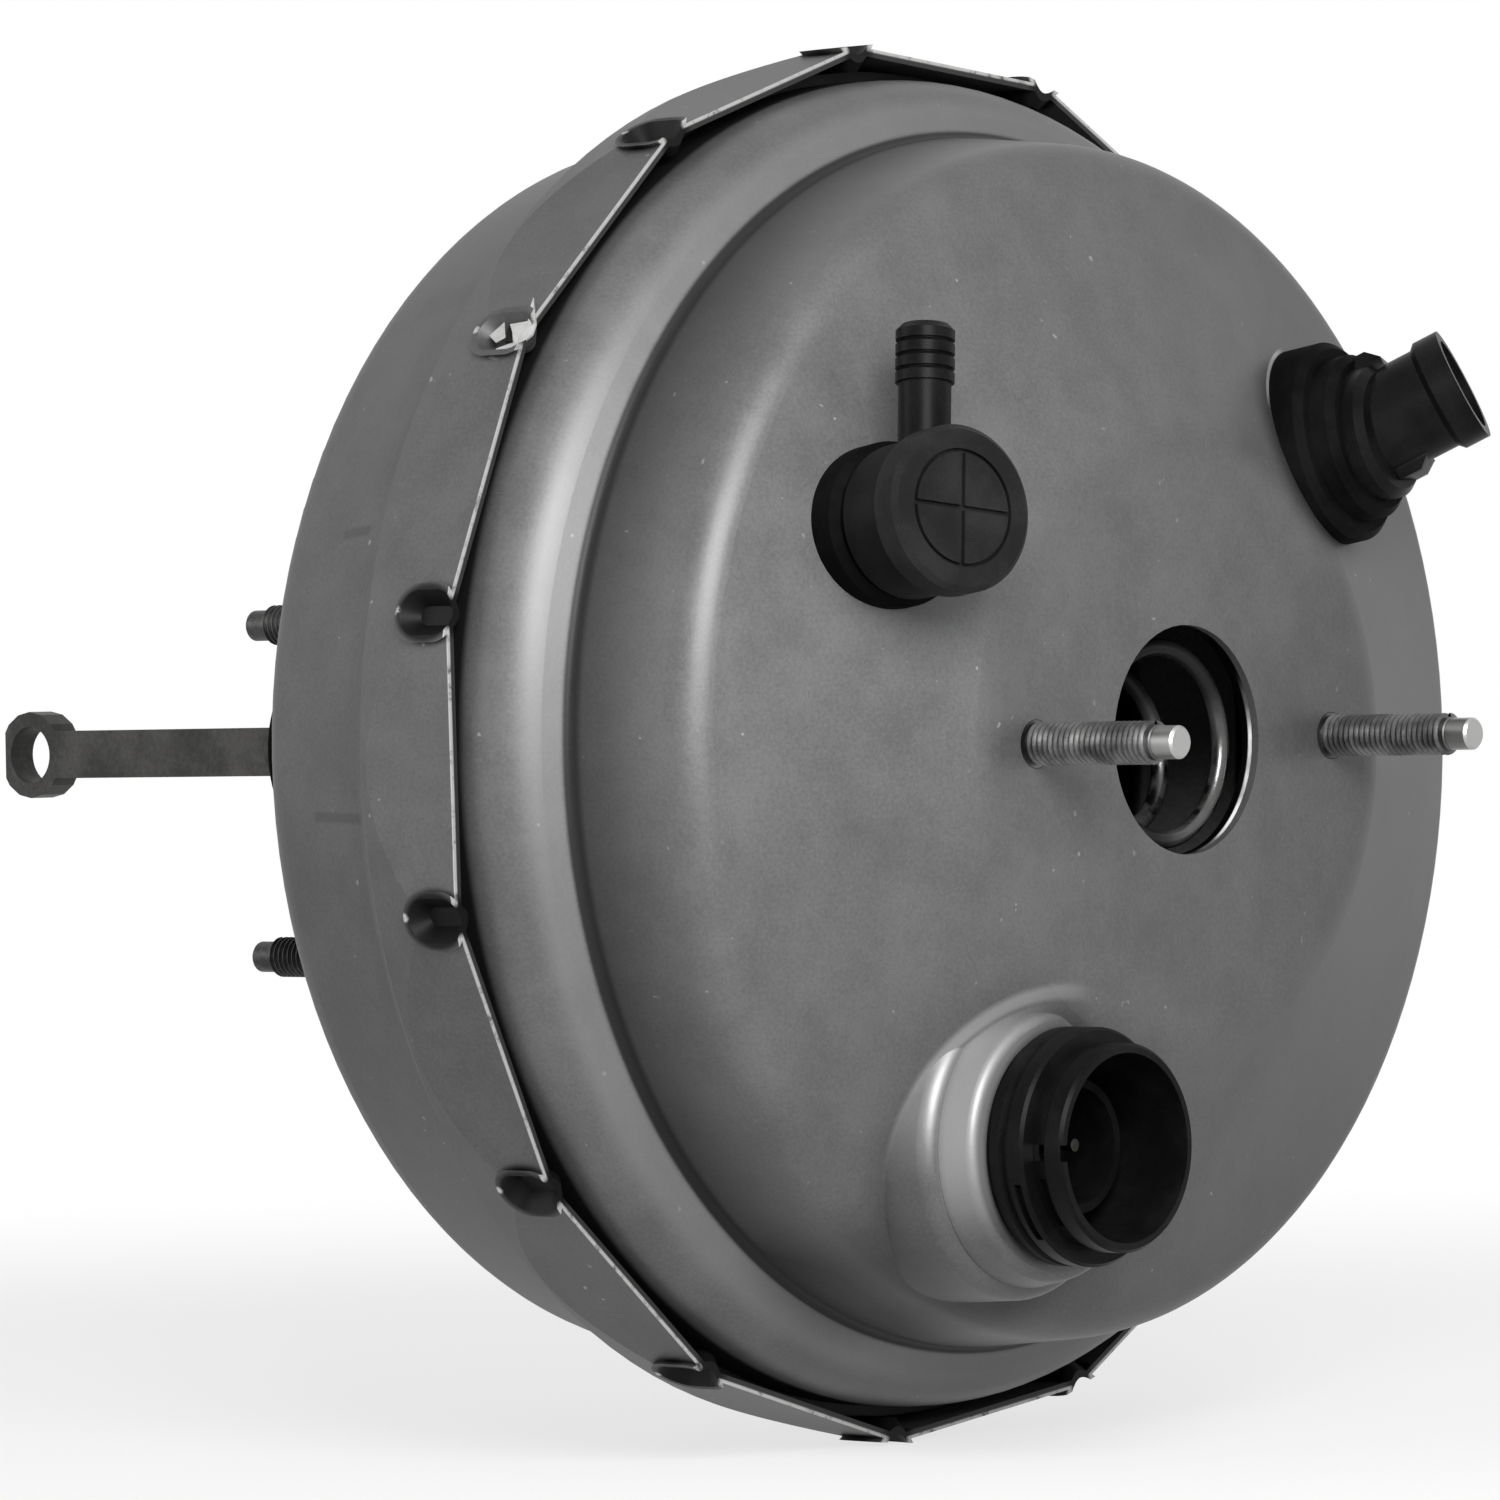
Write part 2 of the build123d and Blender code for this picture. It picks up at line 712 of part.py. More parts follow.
spring_start_x = seat_x + support_wall + spring_wire / 2
spring_height = front_plate_x - spring_wire / 2 - spring_start_x
with BuildPart() as return_spring:
    with BuildLine():
        coil = Helix(
            pitch=spring_height / spring_coils,
            height=spring_height,
            radius=spring_rear_r,
            cone_angle=math.degrees(math.atan2(spring_front_r - spring_rear_r, spring_height)),
            center=(spring_start_x, 0, 0),
            direction=(1, 0, 0),
        )
    with BuildSketch(Plane(origin=coil @ 0, z_dir=coil % 0)):
        RegularPolygon(spring_wire / 2, spring_sides)
    sweep(path=coil)
finish("return_spring", return_spring)

poppet_x = valve_bore_start_x + seal_wall
poppet_seat_r = valve_bore_r - seat_gap - 2 * poppet_lip
with BuildPart() as poppet_seal:
    turn(
        booster,
        (poppet_x, valve_bore_r - seat_gap - poppet_lip),
        (poppet_x, valve_bore_r - seat_gap),
        (poppet_x + poppet_length / 2, valve_bore_r - seat_gap),
        (poppet_x + poppet_length / 2, valve_bore_r - poppet_lip),
        (poppet_x + poppet_length, poppet_seat_r),
        (poppet_x + poppet_length, poppet_seat_r - poppet_lip),
        (poppet_x + poppet_length - poppet_lip, poppet_seat_r - poppet_lip),
    )
finish("poppet_seal", poppet_seal)

filter_x = -tube_length + 2 * retainer_wall
with BuildPart() as air_filter:
    tube(booster, filter_x, filter_x + filter_length, tube_bore_r - seat_gap, filter_bore_r)
finish("air_filter", air_filter)

with BuildPart() as filter_cap:
    cap_start_x = -tube_length + seat_gap
    tube(booster, cap_start_x, cap_start_x + retainer_wall, tube_bore_r - seat_gap, filter_bore_r)
finish("filter_retainer", filter_cap)

plunger_end_x = disc_bore_x - valve_travel - soft_gap
collar_x = ball_x - ball_socket + ball_r
with BuildPart() as plunger:
    turn(
        booster,
        (ball_x - ball_socket, 0),
        (ball_x - ball_socket, plunger_collar_r),
        (collar_x, plunger_collar_r),
        (collar_x, plunger_head_r),
        (collar_x + plunger_head, plunger_head_r),
        (collar_x + plunger_head + plunger_head_r - guide_r, guide_r),
        (plunger_end_x, guide_r),
        (plunger_end_x, 0),
    )
    with Locations((ball_x, 0, 0)):
        Sphere(ball_r + running, mode=Mode.SUBTRACT)
finish("air_valve_plunger", plunger)

neck_end_x = ball_x - ball_neck
with BuildPart() as pushrod:
    with Locations((ball_x, 0, 0)):
        Sphere(ball_r)
    turn(
        booster,
        (ball_x, 0),
        (ball_x, ball_neck_r),
        (neck_end_x, ball_neck_r),
        (neck_end_x - rod_r + ball_neck_r, rod_r),
        (rod_flat_x - bar_width / 2, rod_r),
        (rod_flat_x - bar_width / 2, 0),
    )
    with BuildSketch(Plane.XZ.offset(-bar_width / 2)):
        with Locations(((rod_flat_x + eye_x) / 2, 0)):
            Rectangle(rod_flat_x - eye_x, bar_height)
        with Locations((eye_x, 0)):
            RegularPolygon(eye_r, eye_sides, major_radius=False)
            Circle(eye_hole_r, mode=Mode.SUBTRACT)
        with Locations((eye_x - eye_flat - eye_r, 0)):
            Rectangle(2 * eye_r, 4 * eye_r, mode=Mode.SUBTRACT)
    extrude(amount=bar_width)
finish("pushrod", pushrod)

# ---------------------------------------------------------------- dust boot
boot_outline = [
    (-neck_length - seat_gap, boot_crest_r),
    (-neck_length - boot_cuff, boot_crest_r),
]
for fold in range(boot_folds):
    boot_outline.append((boot_outline[-1][0] - boot_pitch / 2, boot_valley_r))
    boot_outline.append((boot_outline[-1][0] - boot_pitch / 2, boot_crest_r))
boot_crest_x = boot_outline[-1][0]
boot_outline += [
    *[(boot_crest_x - back, radius) for back, radius in boot_tail],
    (boot_end_x + boot_throat_r / 2, rod_r + boot_gap),
    (boot_end_x, rod_r + boot_gap),
]
with BuildPart() as boot:
    press(booster, boot_outline, boot_bend, boot_wall, Side.RIGHT)
finish("dust_boot", boot)

# ---------------------------------------------------------------- check valve


def grommet(port, bore_r, points, height_r, hole_r):
    """A rubber grommet: a wedge flange cut to the face, a neck in its hole and a bulb behind."""
    turn(port, (-wedge, bore_r), (-wedge, height_r), *points, (points[-1][0], bore_r))
    closed_turn(front_outline, front_radii, mode=Mode.SUBTRACT)
    bulb_end = -sheet - wedge - bulb_depth
    turn(
        port,
        (0, bore_r),
        (0, hole_r - seat_gap),
        (-sheet, hole_r - seat_gap),
        (-sheet, hole_r + bulb_overhang),
        (-sheet - wedge, hole_r + bulb_overhang),
        (bulb_end, hole_r - bulb_overhang),
        (bulb_end, bore_r),
    )
    add(front_shell.part, mode=Mode.SUBTRACT)


with BuildPart() as valve_grommet:
    top = [
        (valve_grommet_height - flange_bevel, valve_grommet_r),
        (valve_grommet_height, valve_grommet_r - flange_bevel),
    ]
    grommet(valve_port, stem_r + running, top, valve_grommet_r, valve_hole_r)
finish("check_valve_grommet", valve_grommet)

barb_port = Plane(
    origin=valve_port.origin + valve_port.z_dir * barb_height,
    x_dir=valve_port.z_dir,
    z_dir=valve_port.x_dir,
)
with BuildPart() as valve_housing:
    tube(valve_port, -stem_depth, valve_drum_start, stem_r)
    turn(
        valve_port,
        (valve_drum_start, 0),
        (valve_drum_start, valve_drum_r - cap_bevel),
        (valve_drum_start + cap_bevel, valve_drum_r),
        (valve_cap_start, valve_drum_r),
        (valve_cap_start, 0),
    )
    tube(barb_port, stem_bore_r, barb_reach - barb_nose, barb_r)
    for ridge in range(barb_ridges):
        ridge_end = barb_reach - barb_pitch * ridge
        turn(
            barb_port,
            (ridge_end - barb_ridge - barb_nose, 0),
            (ridge_end - barb_ridge - barb_nose, barb_ridge_r),
            (ridge_end - barb_nose, barb_ridge_r),
            (ridge_end, barb_r - barb_nose / 2),
            (ridge_end, 0),
        )
    tube(valve_port, valve_seat, valve_cap_start, valve_chamber_r, mode=Mode.SUBTRACT)
    tube(valve_port, -stem_depth, valve_seat, stem_bore_r, mode=Mode.SUBTRACT)
    tube(barb_port, poppet_r, barb_reach, barb_bore_r, mode=Mode.SUBTRACT)
finish("check_valve_body", valve_housing)

with BuildPart() as valve_cap:
    turn(
        valve_port,
        (valve_cap_start, 0),
        (valve_cap_start, valve_cap_r),
        (valve_height - cap_bevel, valve_cap_r),
        (valve_height, valve_cap_r - cap_bevel),
        (valve_height, 0),
    )
    groove_floor = valve_height - cap_slot
    tube(valve_port, groove_floor, valve_height, cap_groove_r, cap_groove_r - cap_groove, mode=Mode.SUBTRACT)
    with BuildSketch(valve_port.offset(groove_floor)):
        Rectangle(cap_slot, 2 * cap_groove_r)
        Rectangle(2 * cap_groove_r, cap_slot)
    extrude(amount=cap_slot, mode=Mode.SUBTRACT)
finish("check_valve_cap", valve_cap)

with BuildPart() as poppet:
    tube(valve_port, valve_seat, valve_seat + poppet_wall, poppet_r)
    tube(valve_port, valve_seat - poppet_stem, valve_seat, stem_bore_r - cap_bevel)
finish("check_valve_disc", poppet)

with BuildPart() as poppet_spring:
    spring_foot = valve_seat + poppet_wall
    tube(valve_port, spring_foot, valve_cap_start, valve_spring_r, valve_spring_r - valve_spring_wire)
finish("check_valve_spring", poppet_spring)

# ---------------------------------------------------------------- travel sensor
with BuildPart() as sensor_seal:
    top = [
        (sensor_grommet_height - flange_bevel, sensor_grommet_r),
        (sensor_grommet_height, sensor_grommet_r - flange_bevel),
        (sensor_grommet_height, sensor_step_r),
        (sensor_step_height - flange_bevel, sensor_step_r),
        (sensor_step_height, sensor_step_r - flange_bevel),
    ]
    grommet(sensor_port, sensor_tube_r + seat_gap, top, sensor_grommet_r, sensor_hole_r)
finish("sensor_grommet", sensor_seal)

sensor_side = sensor_port.x_dir.rotate(Axis((0, 0, 0), sensor_port.z_dir), plug_swing)
plug_way = sensor_port.z_dir.rotate(Axis((0, 0, 0), sensor_port.z_dir.cross(sensor_side)), plug_lean)
plug_port = Plane(
    origin=sensor_port.origin + sensor_port.z_dir * plug_start,
    x_dir=sensor_port.z_dir.cross(sensor_side).cross(plug_way),
    z_dir=plug_way,
)
collar_foot = plug_length - plug_collar
with BuildPart() as sensor_body:
    turn(
        plug_port,
        (0, 0),
        (0, plug_r),
        (collar_foot - plug_collar_r + plug_r, plug_r),
        (collar_foot, plug_collar_r),
        (plug_length, plug_collar_r),
        (plug_length, 0),
    )
    tube(sensor_port, -overcut, sensor_step_height, 2 * sensor_grommet_r, mode=Mode.SUBTRACT)
    tube(sensor_port, -sensor_tube_depth, sensor_step_height, sensor_tube_r)
    turn(
        sensor_port,
        (sensor_step_height, 0),
        (sensor_step_height, sensor_head_r),
        (sensor_head_height - flange_bevel, sensor_head_r),
        (sensor_head_height, sensor_head_r - flange_bevel),
        (sensor_head_height, 0),
    )
    tube(plug_port, plug_length - plug_bore_depth, plug_length + overcut, plug_bore_r, mode=Mode.SUBTRACT)
    bore_end = sensor_step_height - sensor_bore_end
    tube(sensor_port, -sensor_tube_depth, bore_end, sensor_plunger_r + running, mode=Mode.SUBTRACT)
finish("sensor_body", sensor_body)

with BuildPart() as sensor_pins:
    with BuildSketch(plug_port.offset(plug_length - plug_bore_depth)):
        with PolarLocations(pin_circle_r, pin_count):
            Circle(pin_r)
    extrude(amount=pin_length)
finish("sensor_pins", sensor_pins)

plate_face_x = hub_step_x + soft_gap
sensor_tip_rise = sensor_plunger_r * math.sin(math.acos(sensor_port.z_dir.X))
sensor_tip = (plate_face_x + sensor_tip_rise - sensor_port.origin.X) / sensor_port.z_dir.X
with BuildPart() as sensor_plunger:
    tube(sensor_port, sensor_tip, plunger_engaged - sensor_tube_depth, sensor_plunger_r)
finish("sensor_plunger", sensor_plunger)

# ---------------------------------------------------------------- harness socket


def arc_groove(height, radius, start, sweep):
    """A short groove round the socket, cut by turning a small rectangle."""
    out = socket_port.x_dir.rotate(Axis((0, 0, 0), socket_port.z_dir), start)
    cut = Plane(origin=socket_port.origin, x_dir=socket_port.z_dir, z_dir=socket_port.z_dir.cross(out))
    with BuildSketch(cut) as outline:
        with Locations((height, radius)):
            Rectangle(socket_slot_width, 2 * socket_groove)
    axis = Axis(socket_port.origin, socket_port.z_dir)
    revolve(outline.sketch, axis=axis, revolution_arc=sweep, mode=Mode.SUBTRACT)


socket_throat = socket_mouth_r - socket_waist
groove_height = socket_flange_height / 2
with BuildPart() as socket:
    turn(
        socket_port,
        (socket_seal, 0),
        (socket_seal, socket_flange_r),
        (groove_height - socket_groove_width, socket_flange_r),
        (groove_height - socket_groove_width / 2, socket_flange_r - socket_groove),
        (groove_height + socket_groove_width / 2, socket_flange_r - socket_groove),
        (groove_height + socket_groove_width, socket_flange_r),
        (socket_flange_height - socket_bevel, socket_flange_r),
        (socket_flange_height, socket_flange_r - socket_bevel),
        (socket_flange_height, socket_throat),
        (socket_height - socket_flange_height / 2, socket_throat),
        (socket_height - socket_flange_height / 2 + socket_waist, socket_mouth_r),
        (socket_height - socket_bevel, socket_mouth_r),
        (socket_height, socket_mouth_r - socket_bevel),
        (socket_height, 0),
    )
    tube(socket_port, -socket_depth, socket_seal, socket_hole_r - seat_gap)
    socket_floor = socket_height - socket_bore_depth
    tube(socket_port, socket_floor, socket_height, socket_bore_r, mode=Mode.SUBTRACT)
    core_end = socket_height - socket_core_drop
    tube(socket_port, socket_floor, core_end, socket_core_r, socket_core_r - socket_core_wall)
    with BuildSketch(socket_port.offset(socket_height)):
        with Locations((-socket_bore_r, 0)):
            Rectangle(key_width, key_width)
    extrude(amount=-key_depth, mode=Mode.SUBTRACT)
    arc_groove(socket_flange_height - socket_slot_width, socket_flange_r, socket_slot_start, socket_slot_sweep)
    arc_groove(socket_flange_height + socket_slot_width, socket_throat, socket_slot_start, socket_slot_sweep)
finish("harness_socket", socket)

with BuildPart() as socket_gasket:
    tube(socket_port, running, socket_seal, socket_flange_r - socket_groove, socket_hole_r + seat_gap)
finish("harness_socket_seal", socket_gasket)

with BuildPart() as socket_pins:
    with BuildSketch(socket_port.offset(socket_floor)):
        with GridLocations(socket_pin_pitch, 0, 2, 1):
            Circle(socket_pin_r)
    extrude(amount=socket_pin_length)
finish("socket_pins", socket_pins)
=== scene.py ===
import math

import bpy
from mathutils import Matrix, Vector


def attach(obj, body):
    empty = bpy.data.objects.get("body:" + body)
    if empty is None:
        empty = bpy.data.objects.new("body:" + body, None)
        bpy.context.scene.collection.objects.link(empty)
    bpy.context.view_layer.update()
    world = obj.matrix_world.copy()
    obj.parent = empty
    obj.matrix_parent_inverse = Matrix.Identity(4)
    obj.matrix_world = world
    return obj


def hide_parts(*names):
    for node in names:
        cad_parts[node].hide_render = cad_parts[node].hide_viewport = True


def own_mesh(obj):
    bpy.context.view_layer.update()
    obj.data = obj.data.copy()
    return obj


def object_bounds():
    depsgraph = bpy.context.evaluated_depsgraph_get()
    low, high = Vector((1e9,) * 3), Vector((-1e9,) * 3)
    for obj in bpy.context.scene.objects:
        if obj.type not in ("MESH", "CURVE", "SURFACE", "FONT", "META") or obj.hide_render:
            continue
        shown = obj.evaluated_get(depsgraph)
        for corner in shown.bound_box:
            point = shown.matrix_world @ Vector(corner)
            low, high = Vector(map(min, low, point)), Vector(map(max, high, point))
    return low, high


# Vacuum brake booster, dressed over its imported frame. X runs along its axis from the
# firewall to the master cylinder, Z is up, and lengths are in metres.

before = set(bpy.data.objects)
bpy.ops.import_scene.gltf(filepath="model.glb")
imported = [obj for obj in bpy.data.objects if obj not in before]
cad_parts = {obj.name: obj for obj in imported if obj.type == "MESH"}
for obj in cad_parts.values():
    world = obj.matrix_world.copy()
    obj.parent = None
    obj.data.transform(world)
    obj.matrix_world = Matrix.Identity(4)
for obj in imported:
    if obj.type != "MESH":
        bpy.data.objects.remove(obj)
cad_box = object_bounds()

# ------------------------------------------------------------------ outer shells
# Two deep-drawn steel shells, dipped in dark grey coat and baked. The rear one is
# lanced over the rolled bead of the front one at fifteen crimps, where bare steel shows.
# The coat's colour also holds painted shade in corners, dents and creases, and painted highlights on
# rounded edges.
drum_degree = 0.0022  # round the drum, in metres


class Reading:
    """A number that a shader node gives, which arithmetic can carry on from."""

    def __init__(self, finish, socket):
        self.finish = finish
        self.socket = socket

    def maths(self, operation, *values):
        return self.finish.node("ShaderNodeMath", dict(enumerate(values)), operation=operation)

    def __add__(self, other):
        return self.maths("ADD", self, other)

    def __radd__(self, other):
        return self.maths("ADD", other, self)

    def __sub__(self, other):
        return self.maths("SUBTRACT", self, other)

    def __rsub__(self, other):
        return self.maths("SUBTRACT", other, self)

    def __mul__(self, other):
        return self.maths("MULTIPLY", self, other)

    def __rmul__(self, other):
        return self.maths("MULTIPLY", other, self)

    def __truediv__(self, other):
        return self.maths("DIVIDE", self, other)

    def __rtruediv__(self, other):
        return self.maths("DIVIDE", other, self)

    def __pow__(self, other):
        return self.maths("POWER", self, other)

    def __mod__(self, other):
        return self.maths("MODULO", self, other)

    def __abs__(self):
        return self.maths("ABSOLUTE", self)

    def cosine(self):
        return self.maths("COSINE", self)

    def between(self, low, high):
        """0 below low, 1 above high and a smooth step in between."""
        links = {"Value": self, "From Min": low, "From Max": high}
        return self.finish.node("ShaderNodeMapRange", links, interpolation_type="SMOOTHSTEP")

    def below(self, low, high):
        """1 below low, 0 above high and a smooth step in between."""
        return 1 - self.between(low, high)

    def within(self, rise, fall):
        """1 inside a band; rise and fall are the starts and ends of its two soft edges."""
        return self.between(*rise) * self.below(*fall)


class Finish:
    """A material whose nodes are made one line at a time."""

    def __init__(self, name, roughness=0.5, metallic=0.0, gloss=0.5):
        self.material = bpy.data.materials.new(name)
        self.material.use_nodes = True
        self.tree = self.material.node_tree
        self.shader = self.tree.nodes["Principled BSDF"]
        self.shader.inputs["Roughness"].default_value = roughness
        self.shader.inputs["Metallic"].default_value = metallic
        self.shader.inputs["Specular IOR Level"].default_value = gloss
        self.place = self.node("ShaderNodeTexCoord", {}, "Object")

    def node(self, kind, links, output=0, stops=(), **settings):
        made = self.tree.nodes.new(kind)
        for setting, value in settings.items():
            setattr(made, setting, value)
        for stop, (position, grey) in enumerate(stops):
            element = made.color_ramp.elements[stop] if stop < 2 else made.color_ramp.elements.new(position)
            element.position = position
            element.color = (grey, grey, grey, 1)
        for name, value in links.items():
            self.feed(made.inputs[name], value)
        return Reading(self, made.outputs[output])

    def feed(self, socket, value):
        if isinstance(value, Reading):
            self.tree.links.new(value.socket, socket)
        else:
            socket.default_value = value

    def give(self, name, value):
        self.feed(self.shader.inputs[name], value)

    def noise(self, scale, detail=3.0, roughness=0.5, at=None):
        links = {"Vector": at or self.place, "Scale": scale, "Detail": detail, "Roughness": roughness}
        return self.node("ShaderNodeTexNoise", links)

    def along(self, axis):
        """One coordinate of the place on the piece, in metres."""
        return self.node("ShaderNodeSeparateXYZ", {"Vector": self.place}, axis)

    def from_axis(self):
        """Distance from the booster's axis."""
        return (self.along("Y") ** 2 + self.along("Z") ** 2) ** 0.5

    def turned_from(self, degrees):
        """Angle round the booster's axis from a bearing, in degrees, from -180 to 180."""
        bearing = self.node("ShaderNodeMath", {0: self.along("Z"), 1: self.along("Y")}, operation="ARCTAN2")
        swung = bearing * (180 / math.pi) - degrees
        return self.node("ShaderNodeMath", {0: swung, 1: 180.0, 2: -180.0}, operation="WRAP")

    def least(self, one, other):
        return self.node("ShaderNodeMath", {0: one, 1: other}, operation="MINIMUM")

    def round_port(self, foot, way, bearing):
        """Distance from a port's axis, and how far that place lies towards a bearing, -1 to 1."""
        off = [self.along(axis) - start for axis, start in zip("XYZ", foot)]
        up_port = sum(gap * share for gap, share in zip(off, way))
        distance = (sum(gap**2 for gap in off) - up_port**2) ** 0.5
        towards = off[1] * math.cos(math.radians(bearing)) + off[2] * math.sin(math.radians(bearing))
        return distance, towards / distance

    def patch(self, x, bearing, length, spread, soft):
        """A soft-edged rectangle on the drum: place and size along the axis and round it."""
        lengthwise = abs(self.along("X") - x).below(length / 2 - soft, length / 2 + soft)
        round_it = abs(self.turned_from(bearing)) * drum_degree
        return lengthwise * round_it.below(spread / 2 - soft, spread / 2 + soft)

    def blend(self, mask, low, high):
        """A colour between two, by a mask."""
        links = {"Factor": mask, 6: low, 7: high}
        return self.node("ShaderNodeMix", links, 2, data_type="RGBA")

    def bump(self, height, depth, strength=1.0):
        links = {"Height": height, "Distance": depth, "Strength": strength}
        self.give("Normal", self.node("ShaderNodeBump", links))

    def onto(self, *nodes):
        """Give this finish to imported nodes."""
        for name in nodes:
            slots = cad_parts[name].data.materials
            for place in range(len(slots)):
                slots[place] = self.material


def shell_coat(name, base, dark, light):
    """Baked coat over pressed steel: clouded, faintly grained, with small light specks."""
    coat = Finish(name, base, 0.5, gloss=0.2)
    cloud = coat.noise(14.0, 4.0, 0.55)
    mottle = coat.noise(75.0, 5.0, 0.6)
    grain = coat.noise(1500.0, 3.0, 0.7)
    tone = cloud * 0.26 + mottle * 0.36 + grain * 0.38
    body = coat.blend(tone.between(0.34, 0.66), dark, light)
    specks = coat.noise(470.0, 1.0).between(0.765, 0.79) * mottle.between(0.45, 0.6)
    coat.give("Roughness", base + (mottle - 0.5) * 0.16 + (grain - 0.5) * 0.12)
    coat.bump(grain * 0.55 + coat.noise(260.0, 3.0) * 0.45, 0.00007, 0.5)
    return coat, coat.blend(specks * 0.35, body, (0.5, 0.5, 0.49, 1))


rim_x = 0.1005
rim_flat_r = 0.1313
face_edge_r = 0.1123
side_foot_r = 0.1166
side_foot_x = 0.1150
front_dark = (0.098, 0.098, 0.099, 1)
front_light = (0.142, 0.142, 0.144, 1)
front_coat, front_body = shell_coat("front_shell_coat", 0.46, front_dark, front_light)
from_centre = front_coat.from_axis()
up_axis = front_coat.along("X")
# Painted shade: the side wall is darkened near its foot, and a thin line along the foot's fillet is
# darkened too.
side_wall = from_centre.within(
    (face_edge_r - 0.0005, face_edge_r + 0.0005),
    (side_foot_r - 0.0004, side_foot_r + 0.0004),
)
side_shade = side_wall * up_axis.between(side_foot_x - 0.0014, side_foot_x - 0.0005)
side_shade = side_shade * up_axis.below(side_foot_x, side_foot_x + 0.0270)
foot_line_shade = side_wall * from_centre.between(side_foot_r - 0.0017, side_foot_r - 0.0013)
foot_line_shade = foot_line_shade * up_axis.below(side_foot_x + 0.0012, side_foot_x + 0.0030)
# Painted highlight: a lighter band on the shoulder next to the side wall's foot.
band_highlight = from_centre.within(
    (side_foot_r - 0.0003, side_foot_r + 0.0008),
    (side_foot_r + 0.0042, side_foot_r + 0.0080),
)
# Painted shade in the groove under the rear shell's rim.
groove_shade = up_axis.below(rim_x - 0.0023, rim_x - 0.0002)

# Painted highlight in a thin ring round the sensor's grommet, upper left, and painted shadow beside it,
# lower left.
sensor_foot = (0.1564, 0.0534, 0.0555)
sensor_way = (0.969, 0.1713, 0.1780)
grommet_r = 0.0195
ring, upper_left = front_coat.round_port(sensor_foot, sensor_way, 130)
grommet_highlight = upper_left.between(0.86, 0.97) * ring.within(
    (grommet_r - 0.0002, grommet_r + 0.0001),
    (grommet_r + 0.0006, grommet_r + 0.0011),
)
ring, lower_left = front_coat.round_port(sensor_foot, sensor_way, 212)
grommet_shadow = ring.below(grommet_r - 0.0005, grommet_r + 0.0067) * lower_left.between(-0.1, 0.8) * 0.5

# Painted highlights in crescents on the two steps of the socket's boss, and painted shade under it.
socket_foot = (0.158, -0.037, -0.074)
boss_r = 0.0286
boss_step_r = 0.0248
ring, upper_left = front_coat.round_port(socket_foot, (1, 0, 0), 132)
outer_boss_highlight = upper_left.between(0.45, 1.0) * ring.within(
    (boss_r - 0.0024, boss_r - 0.0008),
    (boss_r + 0.0002, boss_r + 0.0020),
)
ring, upper_left = front_coat.round_port(socket_foot, (1, 0, 0), 155)
inner_boss_highlight = upper_left.between(0.35, 1.0) * ring.within(
    (boss_step_r - 0.0043, boss_step_r - 0.0023),
    (boss_step_r + 0.0012, boss_step_r + 0.0021),
)
ring, underneath = front_coat.round_port(socket_foot, (1, 0, 0), 258)
under_boss_shade = underneath.between(0.2, 0.85) * 0.5 * ring.within(
    (boss_r - 0.0002, boss_r + 0.0010),
    (boss_r + 0.0014, boss_r + 0.0134),
)

# Painted shade: the face is darker towards its right and towards the bottom.
right_shade = front_coat.along("Y").between(-0.03, 0.10) * 0.27
low_shade = front_coat.along("Z").below(-0.12, 0.0) * 0.12
highlighted_coat = front_coat.blend(band_highlight * 0.5, front_body, (0.21, 0.21, 0.212, 1))
boss_highlights = (outer_boss_highlight + inner_boss_highlight) * 0.62
highlighted_coat = front_coat.blend(boss_highlights, highlighted_coat, (0.40, 0.40, 0.40, 1))
# All the painted shade above, mixed towards near black.
painted_shade = side_shade * 0.66 + foot_line_shade * 0.22 + groove_shade * 0.97
painted_shade = front_coat.least(painted_shade + grommet_shadow + under_boss_shade + right_shade + low_shade, 0.97)
shaded_coat = front_coat.blend(painted_shade, highlighted_coat, (0.010, 0.010, 0.010, 1))
front_coat.give("Base Color", front_coat.blend(grommet_highlight * 0.8, shaded_coat, (0.42, 0.42, 0.41, 1)))
front_coat.onto("front_shell")

first_crimp = 0.8
crimp_pitch = 24.0
crimp_x = 0.0952
torn_bearing = 144.8
rim_degree = 0.00234  # round the rim, in metres
rear_dark = (0.075, 0.075, 0.076, 1)
rear_light = (0.114, 0.114, 0.116, 1)
rear_coat, rear_body = shell_coat("rear_shell_coat", 0.5, rear_dark, rear_light)
bearing = rear_coat.turned_from(first_crimp) + 360 + crimp_pitch / 2
across = (bearing % crimp_pitch - crimp_pitch / 2) * rim_degree
along = rear_coat.along("X") - crimp_x
# Painted shade: the crimps' dents are coloured near black, less at the torn crimp.
dent = ((across * 1.15) ** 2 + (along * 0.85) ** 2) ** 0.5
torn = abs(rear_coat.turned_from(torn_bearing)).below(8.0, 9.0)
dent_shade = dent.below(0.0054, 0.0076) * (1 - torn * 0.75)
scuff = rear_coat.noise(330.0, 5.0, 0.75)
nick = ((across + 0.0006) ** 2 + (along + 0.0074) ** 2) ** 0.5
nick_bare = nick.below(0.0004, 0.0011) * scuff.between(0.44, 0.56)

# The rim's edge is bare in places along its outer line, between the notches of the crimps, and that line is
# also a painted highlight.
notch = abs(across).between(0.0022, 0.0036)
flat_middle = (bearing + crimp_pitch / 2) % crimp_pitch - crimp_pitch / 2
outwards = rear_coat.from_axis() * (flat_middle * (math.pi / 180)).cosine()
outer_line = outwards.between(rim_flat_r - 0.0008, rim_flat_r - 0.0004)
at_rim = rear_coat.along("X").between(rim_x - 0.0004, rim_x - 0.0001)
edge_bare_and_highlight = at_rim * outer_line * notch * scuff.between(0.3, 0.5)
# Painted shade on the rest of the rim's edge face.
edge_face_shade = at_rim * (1 - outer_line) * 0.8
